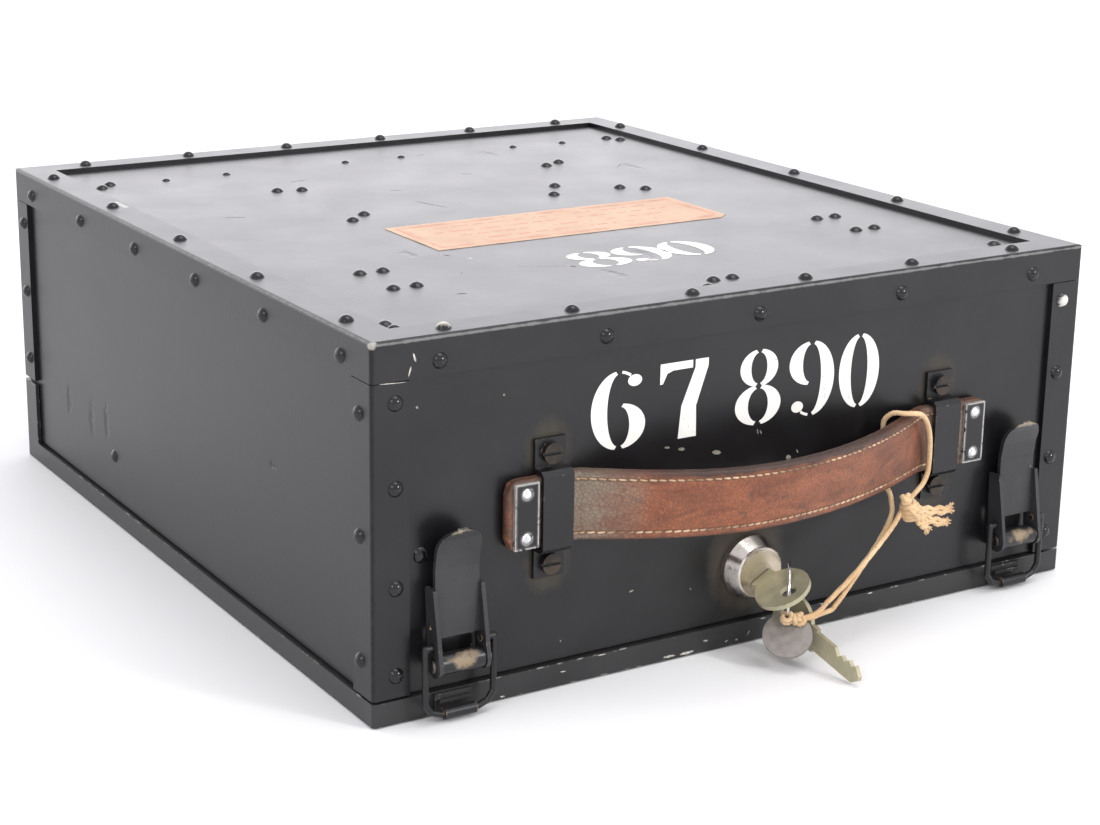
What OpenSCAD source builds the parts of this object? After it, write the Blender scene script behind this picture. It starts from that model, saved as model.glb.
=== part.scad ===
// Rotor cipher machine in its closed steel carrying case.
// The case is a shallow tray with a riveted, rear-hinged hood. Two toggle latches, a
// cylinder lock and a strap handle sit on the front; the keyboard, the lamp field and a
// stack of ten wheels stand on the tray under the hood.
// Origin: centre of the case's underside. X runs right, Y to the back, Z up. Millimetres.

/* [Case] */
// Width of the case over the edge strips
case_w = 330; // [320:1:345]
// Depth of the case, front to back, over the edge strips
case_d = 366; // [360:1:380]
// Height of the closed case
case_h = 142; // [136:1:156]
// Height of the tray's rim
rim_h = 9; // [8:0.5:11]
// Thickness of the tray's floor
floor_t = 2; // [1.5:0.1:2.5]
// Height of the tray's locating lip above its rim
lip_h = 6; // [4:0.5:7]
// Thickness of the locating lip
lip_t = 1.6; // [1.2:0.1:2.2]

/* [Hood] */
// Dark gap between the tray's rim and the hood
hood_gap = 1; // [0.6:0.1:1.5]
// Width of the edge strips' flanges
flange_w = 15; // [13:0.5:17]
// Thickness of the edge strips
strip_t = 2; // [1.6:0.1:2.4]
// Thickness of the hood's panels
panel_t = 1.4; // [1:0.1:1.8]
// Outer rounding of the case's edges
edge_r = 1.6; // [1:0.1:1.9]
// Height at which the rear corner strips are split between hood and tray
split_z = 39.5; // [36:0.5:44]
// Head diameter of the rivets
rivet_d = 6; // [5:0.1:6.4]
// Height of the rivets' domed heads
rivet_h = 2; // [1.4:0.1:2.2]
// Shank diameter of the rivets
rivet_shank_d = 3; // [2.4:0.1:3.4]

/* [Rear hinges] */
// Length of each of the two rear hinges
hinge_len = 60; // [50:1:80]
// Distance between the centres of the rear hinges
hinge_span = 200; // [160:1:220]
// Diameter of the hinge pins
hinge_pin_d = 3; // [2.5:0.1:3.4]
// Outer diameter of the hinge knuckles
knuckle_d = 7.6; // [6.8:0.1:8]
// Height of each hinge leaf
leaf_h = 14; // [11:0.5:15]

/* [Handle] */
// Distance of each handle bridge's middle from its end of the strap
bridge_from_end = 21; // [18:1:26]
// Width of a bridge
bridge_w = 13; // [11:0.5:16]
// Thickness of the bridge strip
bridge_t = 1.6; // [1.2:0.1:2]
// Height of the strap's middle above the ground
strap_z = 71; // [66:0.5:78]
// Width of the leather strap
strap_w = 27; // [22:0.5:30]
// Thickness of the leather strap
strap_t = 5; // [4:0.1:5.6]
// Distance of the strap's ends from the sides of the case, when the strap is in the middle
strap_in = 52; // [47:1:55]
// How far the strap's middle bulges out beyond its ends
strap_rise = 27; // [20:0.5:32]
// Where the strap bulges most, to the right of the middle
strap_peak = -10; // [-16:1:16]
// How far the strap lies to the right of the middle at rest
strap_shift = 1.5; // [0:0.1:2]
// Length of a bridge's screw tab
tab_len = 11; // [9:0.5:12]
// Head diameter of the slotted screws
screw_d = 8; // [7:0.1:9]

/* [Latches] */
// Distance of each latch's middle from its side of the case
latch_in = 32; // [30:1:36]
// Width of the latch lever
lever_w = 18; // [16:0.5:20]
// Height of the lever's tip above the ground
lever_top = 72; // [66:0.5:76]
// Height of the latch pivot above the ground
pivot_z = 22; // [20:0.5:24]
// Distance of the latch pivot in front of the case's front plane
pivot_out = 6; // [5.5:0.1:7]
// Outer diameter of the bracket's rolled barrel
barrel_d = 8; // [7:0.1:8.6]
// Diameter of the latch pins
latch_pin_d = 3; // [2.5:0.1:3.2]
// Thickness of the latch plates
latch_t = 1.6; // [1.2:0.1:1.8]
// Distance of the wire's pegs above the latch pivot
peg_rise = 7; // [6.6:0.1:8]
// Diameter of the latch wire
wire_d = 2.5; // [2:0.1:2.8]

/* [Lock] */
// Diameter of the lock's rosette
rosette_d = 26; // [24:0.5:28]
// Height of the lock's rosette above the ground
rosette_z = 31.3; // [30.5:0.1:33]
// How far the plug's axis lies below the rosette's centre
plug_drop = 2.3; // [1.8:0.1:2.6]
// How far the rosette stands out of the front plane
rosette_out = 7; // [6:0.1:8]
// Diameter of the lock's plug
plug_d = 11.8; // [11:0.1:12.4]
// Angle of the keyway, from the horizontal
key_angle = 28; // [20:1:36]
// Diameter of the keys' round bows
bow_d = 22; // [21:0.1:23.4]
// Thickness of the keys
key_t = 1.8; // [1.5:0.1:2]
// Diameter of the round tag on the key ring
tag_d = 19; // [17:0.5:20]
// Wire diameter of the key ring
ring_wire = 1.3; // [1:0.1:1.4]

/* [Machine] */
// Distance of the machine's housing from each side of the case
side_room = 17; // [15:0.5:20]
// Distance of the housing from the case's front
front_room = 37; // [36:0.5:39]
// Distance of the housing from the case's back
back_room = 15; // [12:0.5:18]
// Height of the housing's rim above the ground
body_h = 66; // [60:0.5:70]
// Wall of the housing
wall_t = 3; // [2.4:0.1:3.6]
// Thickness of the deck plate
deck_t = 3; // [2:0.1:4]
// Depth of the wheel cover, front to back
cover_depth = 120; // [118:0.5:124]
// Top of the wheel cover above the ground
cover_top = 112; // [108:0.5:114]
// Thickness of the wheel cover
cover_t = 2; // [1.6:0.1:2.4]

/* [Keyboard] */
// Diameter of a key cap
cap_d = 15; // [13:0.5:16.5]
// Height of a key cap
cap_h = 5.4; // [4.4:0.1:6]
// Travel of a key
key_travel = 4; // [3:0.1:4.4]
// Diameter of a key stem
stem_d = 4; // [3.5:0.1:4.5]
// Distance between neighbouring keys
key_pitch = 24; // [23:0.5:25]
// Distance between the rows of keys
row_pitch = 21; // [19:0.5:22]

/* [Wheels] */
// Diameter over a wheel's thumb rim
wheel_d = 88; // [86:0.5:89]
// Diameter of a wheel's drum
drum_d = 66; // [60:0.5:68]
// Distance between neighbouring wheels
wheel_pitch = 20; // [18.5:0.5:20.5]
// Width of a wheel's thumb rim
thumb_w = 4; // [3:0.1:5]
// Diameter of the wheels' axle
axle_d = 8; // [7:0.1:9]
// Height of the axle above the ground
axle_z = 74; // [72:0.5:74.5]
// Distance of the axle in front of the housing's back
axle_in = 60; // [57:0.5:62]

/* [Hidden] */
$fn = 48;

// Clearance between bodies that move past each other
gap = 0.3;
// Hairline between sheets of one body that are riveted together
joint = 0.03;
// Radial clearance of a pin or shaft in its bore
run = 0.05;
cut = 1;

half_w = case_w / 2;
half_d = case_d / 2;
front_y = -half_d;
back_y = half_d;
hood_bottom = rim_h + hood_gap;
panel_x = half_w - strip_t;
panel_y = half_d - strip_t;
panel_top = case_h - strip_t;
split_gap = 1;
seam = 0.3;
panel_front_y = front_y + strip_t;

// Rear hinges
hinge_y = back_y + knuckle_d / 2 + 0.4;
hinge_z = split_z;
knuckles = 5;
knuckle_len = hinge_len / knuckles;

// Handle
strap_len = case_w - 2 * strap_in;
bridge_span = strap_len - 2 * bridge_from_end;
bridge_in = strap_t + gap + 0.9;
strap_bottom = strap_z - strap_w / 2;
tab_hole = tab_len / 2;
screw_h = 2.4;
screw_shank = 4;

// Latches
latch_span = case_w - 2 * latch_in;
lever_half = lever_w / 2;
cheek_out = lever_half + latch_t;
cheek_top = 50;
leg_x = cheek_out + 3.4;
roller_d = 4.4;
roller_w = 13;
roller_z = roller_d / 2 + 0.6;
peg_z = pivot_z + peg_rise;
leg_bend_z = 7.5;
catch_w = 15;

// Lock and keys
plug_z = rosette_z - plug_drop;
plug_front = front_y - rosette_out;
lock_tail_y = front_y + 22;
barrel_body_d = 19;
lock_nut_d = 26;
lock_nut_h = 3;
cam_len = 20;
cam_w = 8;
cam_t = 2;
blade_w = 7.6;
blade_len = 26;
bow_out = 14;
bow_hole_out = 18;
bow_hole_d = 6.4;
ring_d = 23.6;
// Middle of the key ring, which leans in the lock key's bow, and the turn of its plane
ring_at = [6.6, front_y - 16.2, plug_z - 4.3];
ring_turn = 52.3;
tag_hole_d = 4;
tag_t = 1.2;
tag_hole_in = 3.4;

// Machine
body_w = case_w - 2 * side_room;
body_front = front_y + front_room;
body_back = back_y - back_room;
deck_back = body_back - cover_depth;
axle_y = body_back - axle_in;
deck_z = body_h + deck_t;
rows = ["QWERTZUIO", "ASDFGHJK", "PYXCVBNML"];
key_row_y = body_front + 64;
lamp_row_y = deck_back - 25;
cap_z = deck_z + key_travel + 0.6;
wheels = 10;
thumb_teeth = 26;
stack_half = wheels * wheel_pitch / 2;
cheek_t = 3;
sorted_letters = "ABCDEFGHIJKLMNOPQRSTUVWXYZ";
node_letters = "abcdefghijklmnopqrstuvwxyz";

// Route of the string: round the strap near its right end, a knot below it, and two
// strands down towards the key ring
string_d = 2;

KEY_NODES = [for (c = node_letters) str("key_", c)];
WHEEL_NODES = [for (i = [1:10]) str("wheel_", i < 10 ? "0" : "", i)];
FIXED_NODES = ["base_tray", "machine_housing", "deck_plate", "wheel_cover", "wheel_axle", "selector_knob",
    "hood_panels", "hood_edge_angles", "hood_rivets", "hinge_pins", "handle_bridges", "handle_strap",
    "strap_stop_plates", "latch_brackets", "latch_lever_left", "latch_lever_right", "latch_bail_left",
    "latch_bail_right", "lock_barrel", "lock_plug", "lock_key", "key_ring", "spare_key", "tie_string"];

// ---- small helpers ----

// n numbers a step apart, centred on 0
function spaced(n, step) = [for (i = [0:n - 1]) (i - (n - 1) / 2) * step];
function unit(v) = v / norm(v);
// A rigid placement: local X runs along a, local Y towards b, the origin at p
function frame_at(p, a, b) =
    let (x = unit(a), y = unit(b - (b * x) * x), z = cross(x, y))
    [[x.x, y.x, z.x, p.x], [x.y, y.y, z.y, p.y], [x.z, y.z, z.z, p.z], [0, 0, 0, 1]];

// A box from its low and high corners
module box(low, high) {
    translate(low) cube(high - low);
}

module on_front(x, z) {
    translate([x, front_y, z]) rotate([90, 0, 0]) children();
}

module on_back(x, z) {
    translate([x, back_y, z]) rotate([-90, 0, 0]) children();
}

module on_side(s, y, z) {
    translate([s * half_w, y, z]) rotate([0, s * 90, 0]) children();
}

module on_top(x, y) {
    translate([x, y, case_h]) children();
}

// Rectangle with four round corners, centred on 0
module round_rect(w, d, r) {
    square([w - 2 * r, d], center = true);
    square([w, d - 2 * r], center = true);
    for (x = [-1, 1], y = [-1, 1]) translate([x * (w / 2 - r), y * (d / 2 - r)]) circle(r);
}

// Section of the hood: square at the bottom, round at its two top edges
module hood_section(w) {
    translate([-w / 2, hood_bottom]) square([w, case_h - edge_r - hood_bottom]);
    translate([-w / 2 + edge_r, hood_bottom]) square([w - 2 * edge_r, case_h - hood_bottom]);
    for (s = [-1, 1]) translate([s * (w / 2 - edge_r), case_h - edge_r]) circle(edge_r);
}

// Spherical cap of diameter d and height h
module dome(d, h) {
    r = (d * d / 4 + h * h) / (2 * h);
    intersection() {
        translate([0, 0, h - r]) sphere(r);
        cylinder(d = d + cut, h = h + cut);
    }
}

// Extrudes a section drawn as (distance in front of the hood's panel, height) along X
module front_section(x0, x1) {
    translate([x0, panel_front_y, 0]) rotate([90, 0, 90]) linear_extrude(x1 - x0) mirror([1, 0]) children();
}

// ---- rivets ----

top_rivet_in = 7.5;
side_rivet_in = 9.5;
strip_rivet_z = [18.5, 51.5, 88.5, 119.5];
side_strip_z = [23, 70, 115];
rear_strip_z = [51, 84, 117];
// Rivets that hold clips on the inside of the hood's top. Those near a corner are given by
// their side, their distance from it, and their distance from the front or the back
left_front_clips = [[-1, 20, 20.5], [-1, 20, 27.5], [-1, 48, 74], [-1, 58, 74], [-1, 48, 101.5],
    [-1, 58, 101.5]];
right_front_clips = [[1, 59, 74], [1, 49, 74], [1, 59, 100.5], [1, 49, 100.5], [1, 26, 25]];
back_clips = [[1, 28, 51], [1, 24, 58], [-1, 22, 57], [-1, 28, 51]];
// By their place from the middle, and their distance from the front
front_middle_clips = [[-2, 28], [-11, 19], [7, 28]];
// By their place from the middle of the top
middle_clips = [[33, 17], [44, 34], [69, 17], [78, 9], [-64, 18], [-74, 9], [68, 80], [78, 85], [-64, 80],
    [-75, 83]];
clip_rivets = concat([for (p = left_front_clips) [p[0] * (half_w - p[1]), front_y + p[2]]],
    [for (p = front_middle_clips) [p.x, front_y + p.y]],
    [for (p = right_front_clips) [p[0] * (half_w - p[1]), front_y + p[2]]], middle_clips,
    [for (p = back_clips) [p[0] * (half_w - p[1]), back_y - p[2]]]);
// By their place from the middle, and their distance from the back
small_clips = [[-110, 53], [-79, 52], [-15, 50], [16, 50], [80, 51], [109, 52]];
small_clip_rivets = [for (p = small_clips) [p.x, back_y - p.y]];

// Distance of the end rivets from the case's sides, in each row
front_row_end = 27;
side_row_end = 23;
top_side_row_end = 33;
top_front_row_end = 32.5;
corner_clip_in = 20.5;
corner_clip_z = 61.5;
left_clip_y = 70;
left_clip_z = 30;

// n places along a length, with the outer ones the given distance from its ends
function row(n, length, end) = spaced(n, (length - 2 * end) / (n - 1));

// Puts its children at every rivet that joins a strip to a panel
module strip_rivets() {
    for (x = row(5, case_w, front_row_end)) {
        on_front(x, case_h - side_rivet_in) children();
        on_back(x, case_h - side_rivet_in) children();
    }
    for (s = [-1, 1]) {
        for (z = strip_rivet_z) on_front(s * (half_w - side_rivet_in), z) children();
        for (z = rear_strip_z) on_back(s * (half_w - side_rivet_in), z) children();
        for (y = row(6, case_d, side_row_end)) on_side(s, y, case_h - side_rivet_in) children();
        for (z = side_strip_z) on_side(s, front_y + side_rivet_in, z) children();
        for (z = rear_strip_z) on_side(s, back_y - side_rivet_in, z) children();
        for (y = row(5, case_d, top_side_row_end)) on_top(s * (half_w - top_rivet_in), y) children();
        for (x = row(6, case_w, top_front_row_end)) on_top(x, s * (half_d - top_rivet_in)) children();
    }
}

// Puts its children at every rivet that goes through a bare panel
module panel_rivets() {
    for (p = clip_rivets) on_top(p.x, p.y) translate([0, 0, -strip_t]) children();
    for (s = [-1, 1]) on_front(s * (half_w - corner_clip_in), corner_clip_z)
        translate([0, 0, -strip_t]) children();
    on_side(-1, left_clip_y, left_clip_z) translate([0, 0, -strip_t]) children();
}

module small_panel_rivets() {
    for (p = small_clip_rivets) on_top(p.x, p.y) translate([0, 0, -strip_t]) children();
}

// A rivet through the given depth of sheet, with a flat tail behind it
module rivet(d, h, depth) {
    tail_h = 0.8;
    dome(d, h);
    translate([0, 0, -depth - tail_h]) cylinder(d = rivet_shank_d, h = depth + tail_h);
    translate([0, 0, -depth - tail_h]) cylinder(d = rivet_shank_d + 1.4, h = tail_h);
}

module rivet_hole() {
    translate([0, 0, -strip_t - panel_t - cut])
        cylinder(d = rivet_shank_d + 2 * run, h = strip_t + panel_t + 2 * cut);
}

module hood_rivets() {
    color([0.1, 0.1, 0.11]) {
        strip_rivets() rivet(rivet_d, rivet_h, strip_t + panel_t);
        panel_rivets() rivet(rivet_d, rivet_h * 0.8, panel_t);
        small_panel_rivets() rivet(rivet_d * 0.7, rivet_h * 0.5, panel_t);
    }
}

// ---- hood ----

module hood_outer() {
    intersection() {
        translate([0, 0, hood_bottom]) linear_extrude(case_h - hood_bottom)
            round_rect(case_w, case_d, edge_r);
        translate([0, half_d + cut, 0]) rotate([90, 0, 0]) linear_extrude(case_d + 2 * cut)
            hood_section(case_w);
        translate([-half_w - cut, 0, 0]) rotate([90, 0, 90]) linear_extrude(case_w + 2 * cut)
            hood_section(case_d);
    }
}

// The hood's bare fields between the edge strips, cut through the strips' thickness
module hood_fields() {
    top_w = half_w - flange_w;
    top_d = half_d - flange_w;
    side_top = case_h - flange_w;
    box([-top_w, -top_d, panel_top - cut], [top_w, top_d, case_h + cut]);
    box([-top_w, front_y - cut, hood_bottom - cut], [top_w, front_y + flange_w, side_top]);
    box([-half_w - cut, -top_d, hood_bottom - cut], [half_w + cut, top_d, side_top]);
    box([-top_w, back_y - flange_w, hinge_z + split_gap + leaf_h], [top_w, back_y + cut, side_top]);
}

// A thin seam all round where the top strip frame meets the corner strips
module strip_seams() {
    seam_z = case_h - flange_w;
    box([-half_w - cut, front_y - cut, seam_z], [half_w + cut, back_y + cut, seam_z + seam]);
}

// Knuckles of both rear hinges: first is 0 for the tray's, 1 for the hood's
module rear_knuckles(first) {
    up = first == 1 ? 1 : -1;
    web_low = hinge_z + (up > 0 ? split_gap : -knuckle_d / 2);
    web_high = hinge_z + (up > 0 ? knuckle_d / 2 : -split_gap);
    for (s = [-1, 1], i = [first:2:knuckles - 1]) {
        x0 = s * hinge_span / 2 - hinge_len / 2 + i * knuckle_len + gap / 2;
        x1 = x0 + knuckle_len - gap;
        translate([x0, hinge_y, hinge_z]) rotate([0, 90, 0]) cylinder(d = knuckle_d, h = x1 - x0);
        box([x0, back_y - strip_t / 2, web_low], [x1, hinge_y, web_high]);
    }
}

module rear_pin_bores() {
    for (s = [-1, 1]) translate([s * hinge_span / 2 - hinge_len / 2 - cut, hinge_y, hinge_z])
        rotate([0, 90, 0]) cylinder(d = hinge_pin_d + 2 * run, h = hinge_len + 2 * cut);
}

module hood_edge_angles() {
    color([0.11, 0.11, 0.12]) difference() {
        union() {
            difference() {
                hood_outer();
                box([-panel_x, -panel_y, hood_bottom - cut], [panel_x, panel_y, panel_top]);
                hood_fields();
                strip_seams();
                box([-half_w - cut, back_y - flange_w - cut, hood_bottom - cut],
                    [half_w + cut, back_y + cut, hinge_z + split_gap]);
            }
            rear_knuckles(1);
        }
        rear_pin_bores();
        strip_rivets() rivet_hole();
    }
}

module hood_panels() {
    inner_x = panel_x - panel_t;
    inner_y = panel_y - panel_t;
    inner_top = panel_top - panel_t;
    color([0.13, 0.13, 0.14]) difference() {
        union() {
            box([-panel_x, -panel_y, inner_top], [panel_x, panel_y, panel_top]);
            box([-panel_x, -panel_y, hood_bottom], [panel_x, -inner_y, inner_top - joint]);
            box([-panel_x, inner_y, hinge_z + split_gap], [panel_x, panel_y, inner_top - joint]);
            for (s = [-1, 1]) translate([s * (panel_x - panel_t / 2), 0, 0])
                box([-panel_t / 2, -inner_y + joint, hood_bottom],
                    [panel_t / 2, inner_y - gap, inner_top - joint]);
        }
        strip_rivets() rivet_hole();
        panel_rivets() rivet_hole();
        small_panel_rivets() rivet_hole();
        on_front(0, rosette_z) translate([0, 0, -strip_t - panel_t - cut])
            cylinder(d = barrel_body_d + 4 * run, h = panel_t + 2 * cut);
        bridge_screws() translate([0, 0, -panel_t - cut])
            cylinder(d = screw_shank + 2 * run, h = panel_t + 2 * cut);
    }
}

module hinge_pins() {
    color([0.35, 0.35, 0.36]) {
        for (s = [-1, 1]) translate([s * hinge_span / 2 - hinge_len / 2, hinge_y, hinge_z])
            rotate([0, 90, 0]) cylinder(d = hinge_pin_d, h = hinge_len);
        for (s = [-1, 1]) translate([s * latch_span / 2, front_y - pivot_out, pivot_z]) rotate([0, 90, 0]) {
            reach = cheek_out + gap;
            translate([0, 0, -reach]) cylinder(d = latch_pin_d, h = 2 * reach);
            for (e = [0, 1]) mirror([0, 0, e]) translate([0, 0, reach]) cylinder(d = latch_pin_d + 2, h = 1);
        }
    }
}

// ---- handle ----

loop_half = strap_w / 2 + 0.6;
foot_z = loop_half + bridge_t;

// Puts its children at the four bridge screws, on the front panel's surface
module bridge_screws() {
    for (s = [-1, 1], e = [-1, 1]) on_front(s * bridge_span / 2, strap_z + e * (foot_z + tab_hole))
        translate([0, 0, -strip_t]) children();
}

// Side view of a bridge: a strip raised over the strap, with a chamfered bend at each corner
module bridge_outline() {
    top = bridge_in + bridge_t;
    bend = 1.8;
    translate([0, strap_z]) difference() {
        polygon([[0, -foot_z - tab_len], [bridge_t, -foot_z - tab_len], [bridge_t, -foot_z],
                [top - bend, -foot_z], [top, -foot_z + bend], [top, foot_z - bend],
            [top - bend, foot_z], [bridge_t, foot_z],
            [bridge_t, foot_z + tab_len], [0, foot_z + tab_len]]);
        polygon([[-cut, -loop_half], [bridge_in - bend / 2, -loop_half], [bridge_in, -loop_half + bend / 2],
            [bridge_in, loop_half - bend / 2], [bridge_in - bend / 2, loop_half], [-cut, loop_half]]);
    }
}

module slotted_screw() {
    slot_w = 1.2;
    slot_h = 1.1;
    tail = 2;
    difference() {
        cylinder(d = screw_d, h = screw_h);
        translate([-screw_d, -slot_w / 2, screw_h - slot_h]) cube([2 * screw_d, slot_w, slot_h + cut]);
    }
    translate([0, 0, -bridge_t - panel_t - tail]) cylinder(d = screw_shank, h = bridge_t + panel_t + tail);
}

module handle_bridges() {
    color([0.1, 0.1, 0.11]) {
        difference() {
            for (x = [-bridge_span / 2, bridge_span / 2])
                front_section(x - bridge_w / 2, x + bridge_w / 2) bridge_outline();
            bridge_screws() translate([0, 0, -cut])
                cylinder(d = screw_shank + 2 * run, h = bridge_t + 2 * cut);
        }
        bridge_screws() translate([0, 0, bridge_t]) slotted_screw();
    }
}

// How far the strap's middle line stands out at x, and its smooth change from flat ends
strap_free = bridge_span / 2 - bridge_w / 2 - 4.5;
function strap_bulge(x) =
    let (reach = x > strap_peak ? strap_free - strap_peak : strap_free + strap_peak)
    let (u = (x - strap_peak) / reach)
    abs(u) >= 1 ? 0 : strap_rise * pow(1 - u * u, 1.1);
function strap_slope(x) = (strap_bulge(x + 0.5) - strap_bulge(x - 0.5));
strap_mid_y = panel_front_y - gap - strap_t / 2;
strap_steps = 26;
function strap_line(side) = [for (i = [-strap_steps:strap_steps])
    let (x = i / strap_steps * strap_free, m = strap_slope(x), n = unit([m, 1]))
    [x, strap_mid_y - strap_bulge(x)] + side * strap_t / 2 * [-n.x, -n.y]];

module handle_strap() {
    left = strap_shift - strap_len / 2;
    right = strap_shift + strap_len / 2;
    y0 = strap_mid_y + strap_t / 2;
    y1 = strap_mid_y - strap_t / 2;
    back = strap_line(-1);
    front = strap_line(1);
    color([0.42, 0.22, 0.15]) difference() {
        translate([0, 0, strap_bottom]) linear_extrude(strap_w) polygon(concat([[left, y1]], front,
            [[right, y1], [right, y0]], [for (i = [len(back) - 1:-1:0]) back[i]], [[left, y0]]));
        stop_rivets() translate([0, 0, -strap_t - cut])
            cylinder(d = stop_rivet_d + 2 * run, h = strap_t + 2 * cut);
    }
}

stop_w = 10;
stop_h = 25;
stop_t = 1.3;
stop_rivet_d = 2.4;
stop_rivet_rise = 8.5;
stop_x = strap_len / 2 - stop_w / 2 - 2;

// Puts its children at the stop plates' rivets, on the strap's front face
module stop_rivets() {
    for (s = [-1, 1], e = [-1, 1])
        translate([strap_shift + s * stop_x, strap_mid_y - strap_t / 2, strap_z + e * stop_rivet_rise])
            rotate([90, 0, 0]) children();
}

module strap_stop_plates() {
    color([0.14, 0.14, 0.15]) difference() {
        for (s = [-1, 1])
            translate([strap_shift + s * stop_x, strap_mid_y - strap_t / 2 - stop_t / 2, strap_z])
                cube([stop_w, stop_t, stop_h], center = true);
        stop_rivets() translate([0, 0, -cut]) cylinder(d = stop_rivet_d + 2 * run, h = stop_t + 2 * cut);
    }
    color([0.8, 0.8, 0.8]) stop_rivets() {
        translate([0, 0, stop_t]) dome(4.2, 1.2);
        translate([0, 0, -strap_t]) cylinder(d = stop_rivet_d, h = strap_t + stop_t);
    }
}

// ---- latches ----

pin_out = pivot_out + strip_t;
plate_half = lever_half - gap;

module latch_at(s) {
    translate([s * latch_span / 2, 0, 0]) children();
}

module bracket_section() {
    low = pivot_z - barrel_d / 2;
    difference() {
        union() {
            translate([0, low]) square([latch_t, cheek_top - 2 - low]);
            translate([0, low]) square([pin_out, latch_t]);
            translate([pin_out, pivot_z]) circle(d = barrel_d);
        }
        translate([pin_out, pivot_z]) circle(d = latch_pin_d + 2 * run);
    }
}

module latch_brackets() {
    color([0.12, 0.12, 0.12]) for (s = [-1, 1]) latch_at(s)
        front_section(-plate_half, plate_half) bracket_section();
}

// Side view of a lever's cheek, round about the pivot
module cheek_section() {
    eye = barrel_d / 2 + 0.6;
    back = 1.4;
    difference() {
        union() {
            polygon([[back, cheek_top], [pin_out - 0.6, cheek_top], [pin_out + eye, pivot_z],
                [pin_out - eye, pivot_z]]);
            translate([pin_out, pivot_z]) circle(eye);
        }
        translate([pin_out, pivot_z]) circle(d = latch_pin_d + 2 * run);
        translate([pin_out, peg_z]) circle(d = wire_d + 2 * run);
    }
}

// Side view of the lever's strip, which flares outwards at its tip
module lever_section() {
    low = peg_z + wire_d / 2 + 1.2;
    tip = lever_top;
    polygon([[5.2, low], [6.9, low], [6.2, cheek_top], [6.1, tip - 15], [7, tip - 9], [8.8, tip - 3.5],
        [10.8, tip], [9.6, tip + 0.8], [7.4, tip - 2.4], [5.4, tip - 8.2], [4.4, tip - 14.6],
        [4.5, cheek_top]]);
}

// Front view of the strip: square at the bottom, round at the tip
module lever_front() {
    tip_r = 7;
    translate([-lever_half, pivot_z]) square([lever_w, lever_top - tip_r - pivot_z]);
    translate([-lever_half + tip_r, pivot_z]) square([lever_w - 2 * tip_r, lever_top + 2 - pivot_z]);
    for (s = [-1, 1]) translate([s * (lever_half - tip_r), lever_top - tip_r]) circle(tip_r);
}

module latch_lever(s) {
    color([0.11, 0.11, 0.12]) latch_at(s) {
        intersection() {
            front_section(-lever_half - gap, lever_half + gap) lever_section();
            translate([0, front_y + cut, 0]) rotate([90, 0, 0]) linear_extrude(40) lever_front();
        }
        for (e = [-1, 1]) translate([e * (lever_half + latch_t / 2), 0, 0])
            front_section(-latch_t / 2, latch_t / 2) cheek_section();
    }
}

module latch_lever_left() {
    latch_lever(-1);
}

module latch_lever_right() {
    latch_lever(1);
}

// Half of the bail's wire, from its peg to the middle of its crossbar
function bail_route() = [[lever_half - 0.6, peg_z], [leg_x, peg_z], [leg_x, leg_bend_z], [leg_x - 2.4, 4.2],
    [roller_w / 2 + 1.2, roller_z], [0, roller_z]];

module rod(a, b, d) {
    v = b - a;
    translate(a) rotate([0, acos(v.z / norm(v)), atan2(v.y, v.x)]) cylinder(d = d, h = norm(v));
}

module latch_bail(s) {
    pts = bail_route();
    swell = 0.06;
    color([0.2, 0.17, 0.14]) latch_at(s) translate([0, front_y - pivot_out, 0]) {
        for (e = [-1, 1]) {
            for (i = [0:len(pts) - 2])
                rod([e * pts[i].x, 0, pts[i].y], [e * pts[i + 1].x, 0, pts[i + 1].y], wire_d);
            for (i = [1:len(pts) - 2]) translate([e * pts[i].x, 0, pts[i].y]) sphere(d = wire_d + swell);
        }
        rod([-roller_w / 2, 0, roller_z], [roller_w / 2, 0, roller_z], roller_d);
    }
}

module latch_bail_left() {
    latch_bail(-1);
}

module latch_bail_right() {
    latch_bail(1);
}

// ---- lock, keys and ring ----

module lock_barrel() {
    front = rosette_out + strip_t;
    r = rosette_d / 2;
    tail = lock_tail_y - panel_front_y;
    color([0.72, 0.7, 0.66]) difference() {
        union() {
            translate([0, panel_front_y, rosette_z]) rotate([90, 0, 0]) rotate_extrude()
                polygon([[0, 0], [r, 0], [r, front / 3], [r - 0.6, front * 0.47], [r - 2.6, front - 0.6],
                    [r - 3.2, front], [0, front]]);
            translate([0, lock_tail_y, rosette_z]) rotate([90, 0, 0])
                cylinder(d = barrel_body_d, h = tail + cut / 2);
        }
        translate([0, lock_tail_y + cut, plug_z]) rotate([90, 0, 0])
            cylinder(d = plug_d + 2 * run, h = lock_tail_y - plug_front + 2 * cut);
    }
    color([0.6, 0.6, 0.6]) translate([0, panel_front_y + panel_t + lock_nut_h, rosette_z]) rotate([90, 0, 0])
        difference() {
            cylinder(d = lock_nut_d, h = lock_nut_h, $fn = 6);
            translate([0, 0, -cut]) cylinder(d = barrel_body_d + 2 * run, h = lock_nut_h + 2 * cut);
        }
}

module lock_plug() {
    slot_w = blade_w + 2 * gap;
    slot_t = key_t + 2 * gap;
    color([0.66, 0.62, 0.5]) {
        difference() {
            translate([0, lock_tail_y + gap, plug_z]) rotate([90, 0, 0])
                cylinder(d = plug_d, h = lock_tail_y + gap - plug_front);
            translate([0, plug_front - cut, plug_z]) rotate([0, -key_angle, 0])
                translate([-slot_w / 2, 0, -slot_t / 2]) cube([slot_w, blade_len + 2 * cut, slot_t]);
        }
        translate([0, lock_tail_y + gap + cam_t, plug_z]) rotate([90, 0, 0]) linear_extrude(cam_t) {
            circle(d = plug_d);
            translate([-cam_w / 2, cam_w / 2 - cam_len]) square([cam_w, cam_len - cam_w / 2]);
            translate([0, cam_w / 2 - cam_len]) circle(d = cam_w);
        }
    }
}

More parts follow.
